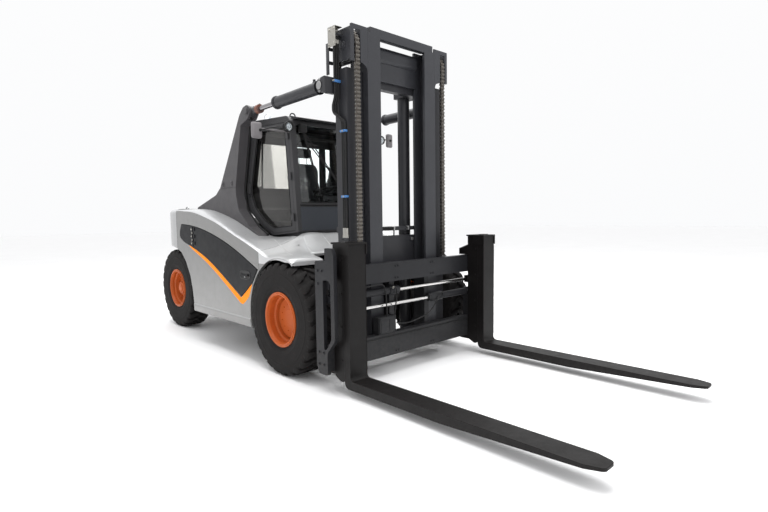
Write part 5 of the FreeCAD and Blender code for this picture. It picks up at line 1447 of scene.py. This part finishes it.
pts = []
for a, b in zip(q, q[1:] + q[:1]):
    for i in range(12):
        x, y = a[0] + (b[0] - a[0]) * i / 12, a[1] + (b[1] - a[1]) * i / 12
        pts.append(W(x, y, roof_z(x * 1.03, y + (0.012 if y > 0.9 else -0.012)) + 0.001))
pts.append(pts[0])
rs.tube(pts, 0.006, 8, caps=False)
rs.make("skylight_seal", M_SEAL, "chassis", 60, "hose_rubber")
bk = Shape()
bz = roof_z(-0.56, 1.12)
bk.lathe([(0.0, 0.058), (0.012, 0.058), (0.016, 0.052), (0.020, 0.046), (0.020, 0.0)], W(-0.56, 1.12, bz - 0.004), (0, 0, 1), 32)
bk.make("beacon_base", M_BLACK, "chassis", 35, "black_plastic")
bk = Shape()
bk.lathe([(0.0, 0.0), (0.0, 0.044), (0.040, 0.043), (0.058, 0.038), (0.068, 0.026), (0.072, 0.0)], W(-0.56, 1.12, bz + 0.0165), (0, 0, 1), 36)
bk.make("beacon_lens", M_LENS, "chassis", 60, "glass")

# work lamps: bezel, reflector bowl, lens, cooling ribs
for x, y, z, nm in ((-0.715, 0.430, 2.600, "right"), (0.668, 0.426, 2.574, "left")):
    r = Shape()
    r.lathe([(0.0, 0.0425), (-0.002, 0.0425), (-0.010, 0.0520), (-0.010, 0.0555), (0.002, 0.0560), (0.016, 0.0545), (0.016, 0.0515), (0.0, 0.0500)],
            W(x, y, z), (0, 1, 0), 40, closed=True)
    for k in range(4):
        r.lathe([(0.0, 0.0515), (0.0, 0.0545), (0.0035, 0.0545), (0.0035, 0.0515)], W(x, y + 0.021 + 0.0075 * k, z), (0, 1, 0), 32, closed=True)
    r.make("lamp_bezel_" + nm, M_BLACK, "chassis", 35, "black_plastic")
    r = Shape()
    r.lathe([(-0.0005, 0.0430), (-0.0015, 0.0420), (-0.0030, 0.0300), (-0.0020, 0.0140), (-0.0060, 0.0120), (-0.0065, 0.0)], W(x, y, z), (0, 1, 0), 36)
    r.make("lamp_reflector_" + nm, M_CHROME, "chassis", 60, "chrome")
    r = Shape()
    r.lathe([(-0.0072, 0.0), (-0.0072, 0.0445), (-0.0095, 0.0440), (-0.0115, 0.0300), (-0.0122, 0.0)], W(x, y, z), (0, 1, 0), 36)
    r.make("lamp_lens_" + nm, M_LENS, "chassis", 60, "glass")
# mirror glasses and their knobs
for cx, cy, cz, rot, nm in ((-1.080, 0.492, 2.532, 0.0, "right"), (0.872, 0.492, 2.590, 11.0, "left")):
    R = Matrix.Translation(W(cx, cy, cz)) @ Matrix.Rotation(math.radians(rot), 4, "Z")
    g = Shape()
    ring = round_poly([(-0.050, -0.078), (0.050, -0.078), (0.050, 0.078), (-0.050, 0.078)], [0.02] * 4)
    n = len(ring)
    vs = [R @ Vector((p.x, d, p.y)) for d in (0.0118, 0.0135) for p in ring]
    g.add(vs, [tuple(range(n)), tuple(range(n, 2 * n))] + [(k, (k + 1) % n, n + (k + 1) % n, n + k) for k in range(n)])
    g.make("mirror_glass_" + nm, M_MIRROR, "chassis", 30, "chrome")
    g = Shape()
    ring = [p * 1.0 for p in round_poly([(-0.054, -0.082), (0.054, -0.082), (0.054, 0.082), (-0.054, 0.082)], [0.024] * 4)]
    n = len(ring)
    lv = [(-0.0110, 1.0), (-0.0150, 0.96), (-0.0185, 0.86), (-0.0200, 0.70), (-0.0203, 0.35)]
    vs = [R @ Vector((p.x * k, d, p.y * k)) for d, k in lv for p in ring]
    fs = [tuple(range(n)), tuple(range((len(lv) - 1) * n, len(lv) * n))]
    for a in range(len(lv) - 1):
        fs += [(a * n + k, a * n + (k + 1) % n, (a + 1) * n + (k + 1) % n, (a + 1) * n + k) for k in range(n)]
    g.add(vs, fs)
    g.make("mirror_back_" + nm, M_MIRB, "chassis", 50, "black_plastic")
    g = Shape()
    kx, kz = (-1.046, 2.534) if nm == "right" else (0.872, 2.592)
    g.lathe([(0.0, 0.017), (0.008, 0.017), (0.012, 0.013), (0.024, 0.011), (0.026, 0.0)], W(kx, cy - 0.018, kz), (0, -1, 0), 20)
    if nm == "right":
        g.tube(smooth([W(kx, cy - 0.034, kz), W(-0.97, cy - 0.036, 2.556), W(-0.86, cy - 0.020, 2.586), W(-0.775, cy + 0.010, 2.600)], 8), 0.0075, 10)
    g.make("mirror_knob_" + nm, M_BLACK, "chassis", 40, "black_plastic")

# ------------------------------------------------------------------ inside the cab
it = Shape()
# rear trim: dark posts and upper band inside the rear window
it.rbox(W(0.335, 1.300, 1.560), W(0.432, 1.338, 2.640), 0.010)
it.rbox(W(0.510, 1.290, 1.560), W(0.612, 1.332, 2.640), 0.010)
it.rbox(W(-0.600, 1.270, 2.520), W(0.612, 1.300, 2.655), 0.010)
it.rbox(W(-0.640, 1.150, 2.640), W(0.640, 1.240, 2.690), 0.015)
it.rbox(W(-0.620, 0.560, 2.640), W(0.620, 0.618, 2.700), 0.010)
it.rbox(W(-0.620, 0.618, 2.660), W(-0.470, 1.160, 2.700), 0.010)
it.rbox(W(0.470, 0.618, 2.660), W(0.620, 1.160, 2.700), 0.010)
it.rbox(W(-0.640, 1.160, 1.500), W(-0.300, 1.225, 1.700), 0.020)
it.rbox(W(0.300, 1.160, 1.500), W(0.640, 1.225, 1.860), 0.020)
it.make("cab_trim", M_HEAD, "chassis", 35, "black_plastic")
cn = Shape()
cn.rbox(W(0.300, 0.700, 1.206), W(0.540, 1.120, 1.640), 0.025)
cn.rbox(W(0.330, 0.640, 1.640), W(0.520, 0.980, 1.700), 0.020)
cn.rbox(W(-0.560, 0.700, 1.206), W(-0.330, 1.140, 1.560), 0.025)
for k in range(4):
    x = 0.355 + 0.045 * k
    cn.tube([W(x, 0.700, 1.695), W(x, 0.692, 1.745)], 0.006, 10)
    cn.lathe([(0.0, 0.008), (0.004, 0.013), (0.022, 0.014), (0.032, 0.009), (0.034, 0.0)], W(x, 0.691, 1.742), (0, -0.1, 1), 16)
for k in range(6):
    cn.rbox(W(0.345 + 0.028 * k, 0.800, 1.698), W(0.364 + 0.028 * k, 0.822, 1.706), 0.002)
cn.make("side_consoles", M_BLACK, "chassis", 35, "black_plastic")
mo = Shape()
mo.rbox(W(0.440, 0.520, 1.960), W(0.590, 0.552, 2.100), 0.008)
mo.tube(smooth([W(0.520, 0.548, 2.03), W(0.560, 0.570, 1.95), W(0.600, 0.560, 1.80)], 8), 0.010, 10)
mo.rbox(W(-0.100, 0.640, 1.800), W(0.100, 0.668, 1.862), 0.008)
mo.make("display_housing", M_GREYP, "chassis", 35, "black_plastic")
mo = Shape()
mo.rbox(W(0.450, 0.551, 1.972), W(0.580, 0.5545, 2.088), 0.0012)
mo.make("display_glass", M_LENS, "chassis", 30, "glass")
fan = Shape()
fc = W(-0.386, 0.640, 1.996)
for r in (0.030, 0.052, 0.074, 0.092):
    fan.lathe([(0.0, r - 0.0016), (0.0, r + 0.0016), (0.0032, r + 0.0016), (0.0032, r - 0.0016)], fc, (0.25, -1, 0), 40, closed=True)
ax_ = Vector((0.25, -1, 0)).normalized()
fu = ax_.orthogonal().normalized()
fw = ax_.cross(fu)
for k in range(12):
    g = 2 * math.pi * k / 12
    dv = fu * math.cos(g) + fw * math.sin(g)
    fan.tube([fc + dv * 0.014, fc + dv * 0.060 + ax_ * 0.010, fc + dv * 0.0925], 0.0014, 6)
fan.lathe([(-0.050, 0.0), (-0.050, 0.030), (-0.020, 0.034), (0.004, 0.018), (0.006, 0.0)], fc, ax_, 28)
fan.tube([fc - ax_ * 0.030, fc - ax_ * 0.030 + Vector((-0.06, 0.0, -0.10)), W(-0.520, 0.660, 1.74)], 0.009, 10)
fan.make("cab_fan", M_GREYP, "chassis", 35, "black_plastic")
fb = Shape()
for k in range(4):
    g0 = math.pi / 2 * k
    vs = []
    for t, rr in ((-0.26, 0.026), (0.30, 0.026), (0.42, 0.084), (-0.34, 0.080)):
        dv = fu * math.cos(g0 + t) + fw * math.sin(g0 + t)
        for e in (-0.0012, 0.0012):
            vs.append(fc + dv * rr - ax_ * (0.018 + 0.018 * t) + ax_ * e)
    fb.add(vs, [(0, 2, 4, 6), (1, 7, 5, 3), (0, 1, 3, 2), (2, 3, 5, 4), (4, 5, 7, 6), (6, 7, 1, 0)])
fb.make("cab_fan_blades", M_CHROME, "chassis", 35, "chrome")
pd = Shape()
for x0, x1, z, y in ((0.060, 0.130, 1.300, 0.590), (-0.060, 0.020, 1.320, 0.585), (-0.170, -0.100, 1.320, 0.585)):
    m4 = Matrix.Translation(W((x0 + x1) / 2, y, z)) @ Matrix.Rotation(math.radians(-35), 4, "X")
    pd.rbox(((x0 - x1) / 2, -0.006, -0.055), ((x1 - x0) / 2, 0.006, 0.055), 0.003, mat=m4)
    for k in range(5):
        pd.rbox(((x0 - x1) / 2 + 0.006, 0.005, -0.045 + 0.020 * k), ((x1 - x0) / 2 - 0.006, 0.0085, -0.037 + 0.020 * k), 0.001, mat=m4)
    pd.tube([W((x0 + x1) / 2, y - 0.008, z - 0.03), W((x0 + x1) / 2, y + 0.010, 1.222)], 0.007, 10)
pd.make("pedals", M_STEEL, "chassis", 35, "steel")
# steering wheel grip ribs, hub cap and spinner knob; column stalks and boot
Rm = Matrix.Translation(W(0, 0.694, 1.911)) @ Matrix.Rotation(math.radians(-18), 4, "X")
sw = Shape()
ringp = []
for i in range(97):
    g = 2 * math.pi * i / 96
    ringp.append(Rm @ Vector((0.165 * math.cos(g), 0.165 * math.sin(g), 0)))
rad = [0.0158 + 0.0012 * math.cos(i * math.pi / 2) for i in range(97)]
sw.tube(ringp, rad, 14, caps=False)
for k in range(4):
    g = math.pi / 2 * k
    c, s_ = math.cos(g), math.sin(g)
    if k != 1:
        sw.tube([Rm @ Vector((0.036 * c, 0.036 * s_, 0.001)), Rm @ Vector((0.100 * c, 0.100 * s_, -0.002)), Rm @ Vector((0.160 * c, 0.160 * s_, 0.0))], 0.0125, 10)
hub = [Rm @ Vector((0, 0, 0.0))]
sw.lathe([(0.0, 0.041), (0.010, 0.041), (0.016, 0.034), (0.018, 0.020), (0.018, 0.0)], Rm @ Vector((0, 0, 0.0)), Rm.to_3x3() @ Vector((0, 0, 1)), 32)
sw.lathe([(0.0, 0.010), (0.018, 0.010), (0.022, 0.019), (0.036, 0.021), (0.046, 0.016), (0.049, 0.0)],
         Rm @ Vector((-0.115, 0.115, 0.010)), Rm.to_3x3() @ Vector((0, 0, 1)), 20)
sw.make("steering_wheel_grip", M_SEAL, "chassis", 50, "black_plastic")
st = Shape()
st.tube(smooth([W(-0.045, 0.668, 1.850), W(-0.090, 0.655, 1.858), W(-0.150, 0.640, 1.872)], 6), 0.0065, 10)
st.tube(smooth([W(0.045, 0.668, 1.850), W(0.090, 0.655, 1.858), W(0.150, 0.640, 1.872)], 6), 0.0065, 10)
for sx in (-1, 1):
    st.lathe([(0.0, 0.007), (0.006, 0.010), (0.022, 0.010), (0.026, 0.0)], W(sx * 0.146, 0.641, 1.871), (sx * 0.9, -0.25, 0.2), 14)
st.make("column_stalks", M_BLACK, "chassis", 50, "black_plastic")
sb = Shape()
for k in range(6):
    z = 1.240 + 0.040 * k
    sb.rbox(W(-0.178 + 0.006 * (k % 2), 0.812 + 0.006 * (k % 2), z), W(0.178 - 0.006 * (k % 2), 1.168 - 0.006 * (k % 2), z + 0.038), 0.016)
sb.rbox(W(-0.235, 0.765, 1.478), W(0.235, 1.230, 1.500), 0.006)
sb.tube(smooth([W(0.236, 0.800, 1.705), W(0.238, 0.790, 1.722)], 3), 0.004, 6)
sb.rbox(W(0.236, 0.796, 1.7185), W(0.334, 1.124, 1.735), 0.010)
sb.make("seat_suspension", M_SEAL, "chassis", 40, "black_plastic")


# ------------------------------------------------------------------ seat cushions
def fabric():
    q = Mat("seat_cloth")
    n1 = q.noise(7.0, 6, 0.6)
    w = q.n("ShaderNodeTexWave", wave_type="BANDS", bands_direction="X")
    w.inputs["Scale"].default_value = 260.0
    w2 = q.n("ShaderNodeTexWave", wave_type="BANDS", bands_direction="Y")
    w2.inputs["Scale"].default_value = 260.0
    w3 = q.n("ShaderNodeTexWave", wave_type="BANDS", bands_direction="Z")
    w3.inputs["Scale"].default_value = 260.0
    for a in (w, w2, w3):
        q.link(q.tc.outputs["Object"], a.inputs["Vector"])
    h = q.math("MULTIPLY", w.outputs["Fac"], q.math("ADD", w2.outputs["Fac"], w3.outputs["Fac"]))
    c = q.mix(q.range(n1, 0.3, 0.7, 0, 1), (0.016, 0.016, 0.018), (0.026, 0.026, 0.029))
    c = q.mix(q.range(h, 0.2, 1.2, 0, 0.5), c, (0.045, 0.045, 0.048))
    q.colour(c)
    q.rough(q.range(n1, 0.3, 0.7, 0.82, 0.95))
    q.bs.inputs["Sheen Weight"].default_value = 0.2
    q.bs.inputs["Specular IOR Level"].default_value = 0.15
    q.bump(h, 0.35, 0.0012)
    return q.m


M_CLOTH = fabric()


def pad(name, lo, hi, cap, shear=(0.0, 0.0), waist=0.0, bolster=0.0, voxel=0.011):
    """Stuffed pad: a crowned closed form, swollen by cloth pressure, then smoothed."""
    b = bmesh.new()
    bmesh.ops.create_cube(b, size=1.0)
    bmesh.ops.subdivide_edges(b, edges=b.edges, cuts=9, use_grid_fill=True)
    lo, hi = Vector(lo), Vector(hi)
    c, h = (lo + hi) / 2, (hi - lo) / 2
    thin = min(range(3), key=lambda k: h[k])
    a1, a2 = [k for k in range(3) if k != thin]
    for v in b.verts:
        p = v.co * 2
        u, w = p[a1], p[a2]
        p[a1] *= 1 - waist * (1 - w * w) * abs(u)
        p[thin] *= 1 - 0.30 * (u ** 6) - 0.26 * (w ** 6)
        if bolster and p[thin] > 0:
            p[thin] += bolster * max(0.0, abs(u) - 0.55) * (1 - 0.6 * w * w)
        p[a1] *= 1 - 0.10 * (w ** 8)
        p[a2] *= 1 - 0.10 * (u ** 8)
        q = Vector((c[i] + h[i] * p[i] for i in range(3)))
        v.co = q
    me = bpy.data.meshes.new(name)
    b.to_mesh(me)
    b.free()
    o = bpy.data.objects.new(name, me)
    scene.collection.objects.link(o)
    m = o.modifiers.new("remesh", "REMESH")
    m.mode = "VOXEL"
    m.voxel_size = voxel
    dg = bpy.context.evaluated_depsgraph_get()
    me2 = bpy.data.meshes.new_from_object(o.evaluated_get(dg))
    o.modifiers.clear()
    o.data = me2
    start = [v.co.copy() for v in me2.vertices]
    cl = o.modifiers.new("cloth", "CLOTH")
    st_ = cl.settings
    st_.quality = 3
    st_.mass = 0.3
    st_.use_pressure = True
    st_.uniform_pressure_force = 4.0
    st_.effector_weights.gravity = 0.0
    st_.tension_stiffness = 15.0
    st_.compression_stiffness = 15.0
    st_.bending_stiffness = 1.5
    cl.point_cache.frame_start, cl.point_cache.frame_end = 1, 20
    for f in range(1, 21):
        scene.frame_set(f)
    dg = bpy.context.evaluated_depsgraph_get()
    me3 = bpy.data.meshes.new_from_object(o.evaluated_get(dg))
    o.modifiers.clear()
    for v, s0 in zip(me3.vertices, start):
        d = v.co - s0
        if d.length > cap:
            v.co = s0 + d * (cap / d.length)
    o.data = me3
    scene.frame_set(1)
    sub = o.modifiers.new("smooth", "SUBSURF")
    sub.levels = sub.render_levels = 1
    dg = bpy.context.evaluated_depsgraph_get()
    me4 = bpy.data.meshes.new_from_object(o.evaluated_get(dg))
    o.modifiers.clear()
    o.data = me4
    me4.materials.clear()
    me4.materials.append(M_CLOTH)
    me4.polygons.foreach_set("use_smooth", [True] * len(me4.polygons))
    return o


def groove(o, fn, depth, width):
    """Sewn channel: vertices near the curve fn(co) = 0 are drawn in along their normals."""
    for v in o.data.vertices:
        d = fn(v.co)
        if d is not None and abs(d) < width:
            k = 0.5 * (1 + math.cos(math.pi * d / width))
            v.co -= v.normal * depth * k


SEATY = 0.9625 + S
cu = pad("seat_cushion", W(-0.232, 0.765, 1.552), W(0.232, 1.160, 1.638), 0.014, waist=0.06, bolster=0.25, voxel=0.011)
groove(cu, lambda p: abs(p.x) - 0.150 if p.z > 1.60 else None, 0.007, 0.010)
for yy in (0.860, 0.950, 1.040):
    groove(cu, lambda p, yy=yy: (p.y - (yy + S)) if (p.z > 1.60 and abs(p.x) < 0.150) else None, 0.005, 0.009)
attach(cu, "chassis")
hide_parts("seat_pads")
bp = pad("seat_back", (-0.218, -0.040, 1.680), (0.218, 0.040, 2.310), 0.014, waist=0.05, bolster=0.0, voxel=0.011)
for v in bp.data.vertices:
    u = abs(v.co.x) / 0.218
    if v.co.y < 0:
        v.co.y -= 0.030 * max(0.0, u - 0.55)
    v.co.y += 1.152 + S + (v.co.z - 1.680) * (1.214 - 1.152) / (2.310 - 1.680)
bp.data.update()
groove(bp, lambda p: abs(p.x) - 0.140 if (p.y - S) < 1.150 + (p.z - 1.68) * 0.1 else None, 0.006, 0.010)
for zz in (1.82, 1.95, 2.08, 2.20):
    groove(bp, lambda p, zz=zz: (p.z - zz) if (abs(p.x) < 0.140 and (p.y - S) < 1.150 + (p.z - 1.68) * 0.1) else None, 0.005, 0.009)
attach(bp, "chassis")
hr = pad("seat_headrest", (-0.125, -0.036, 2.375), (0.125, 0.036, 2.500), 0.010, waist=0.03, voxel=0.011)
for v in hr.data.vertices:
    v.co.y += 1.225 + S
hr.data.update()
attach(hr, "chassis")
ps = Shape()
for sx in (-0.06, 0.06):
    ps.tube([W(sx, 1.222, 2.300), W(sx, 1.226, 2.400)], 0.006, 10)
ps.rbox(W(-0.205, 1.186, 1.700), W(0.205, 1.200, 1.760), 0.005)
ps.make("headrest_posts", M_CHROME, "chassis", 40, "chrome")


# ------------------------------------------------------------------ floor and light
def stage_floor():
    me = bpy.data.meshes.new("floor")
    n, w = 24, 60.0
    vs, fs = [], []
    for i in range(n + 1):
        for j in range(n + 1):
            vs.append((-w + 2 * w * i / n, -w + 2 * w * j / n, -0.0005))
    for i in range(n):
        for j in range(n):
            a = i * (n + 1) + j
            fs.append((a, a + n + 1, a + n + 2, a + 1))
    me.from_pydata(vs, [], fs)
    o = bpy.data.objects.new("floor", me)
    scene.collection.objects.link(o)
    q = Mat("pale_floor")
    q.colour(q.mix(q.range(q.noise(0.8, 4, 0.5), 0.3, 0.7, 0, 1), (0.950, 0.950, 0.955), (0.975, 0.975, 0.980)))
    q.set(Roughness=0.75)
    q.bs.inputs["Specular IOR Level"].default_value = 0.2
    me.materials.append(q.m)


stage_floor()


def area(name, loc, target, size, power, size_y=None, col=(1, 1, 1)):
    d = bpy.data.lights.new(name, "AREA")
    d.shape = "RECTANGLE"
    d.size, d.size_y = size, size_y or size
    d.energy = power
    d.color = col
    o = bpy.data.objects.new(name, d)
    o.location = loc
    o.rotation_euler = (Vector(target) - Vector(loc)).to_track_quat("-Z", "Y").to_euler()
    scene.collection.objects.link(o)
    return o


world = bpy.data.worlds.new("studio")
world.use_nodes = True
nt = world.node_tree
nt.nodes.clear()
wo = nt.nodes.new("ShaderNodeOutputWorld")
bg = nt.nodes.new("ShaderNodeBackground")
ramp = nt.nodes.new("ShaderNodeValToRGB")
sep = nt.nodes.new("ShaderNodeSeparateXYZ")
mr = nt.nodes.new("ShaderNodeMapRange")
tcw = nt.nodes.new("ShaderNodeTexCoord")
nt.links.new(tcw.outputs["Generated"], sep.inputs[0])
nt.links.new(sep.outputs[2], mr.inputs[0])
mr.inputs[1].default_value, mr.inputs[2].default_value = -0.15, 1.0
nt.links.new(mr.outputs[0], ramp.inputs[0])
ramp.color_ramp.elements[0].color = (0.96, 0.965, 0.975, 1)
ramp.color_ramp.elements[0].position = 0.0
ramp.color_ramp.elements[1].color = (1.0, 1.0, 1.0, 1)
ramp.color_ramp.elements[1].position = 1.0
nt.links.new(ramp.outputs[0], bg.inputs[0])
bg.inputs[1].default_value = 1.0
nt.links.new(bg.outputs[0], wo.inputs[0])
scene.world = world

area("key", (-7.5, 0.5, 6.5), (0, 0, 1.0), 5.0, 25, 5.0)
area("front", (-1.0, -9.5, 4.5), (0, -1, 1.2), 6.0, 90, 4.0)
area("top", (0.0, 0.5, 8.5), (0, 0, 0), 7.0, 950, 9.0)
area("rear_fill", (6.0, 7.0, 4.0), (0, 1, 1.2), 5.0, 90, 4.0)

scene.view_settings.view_transform = "Standard"
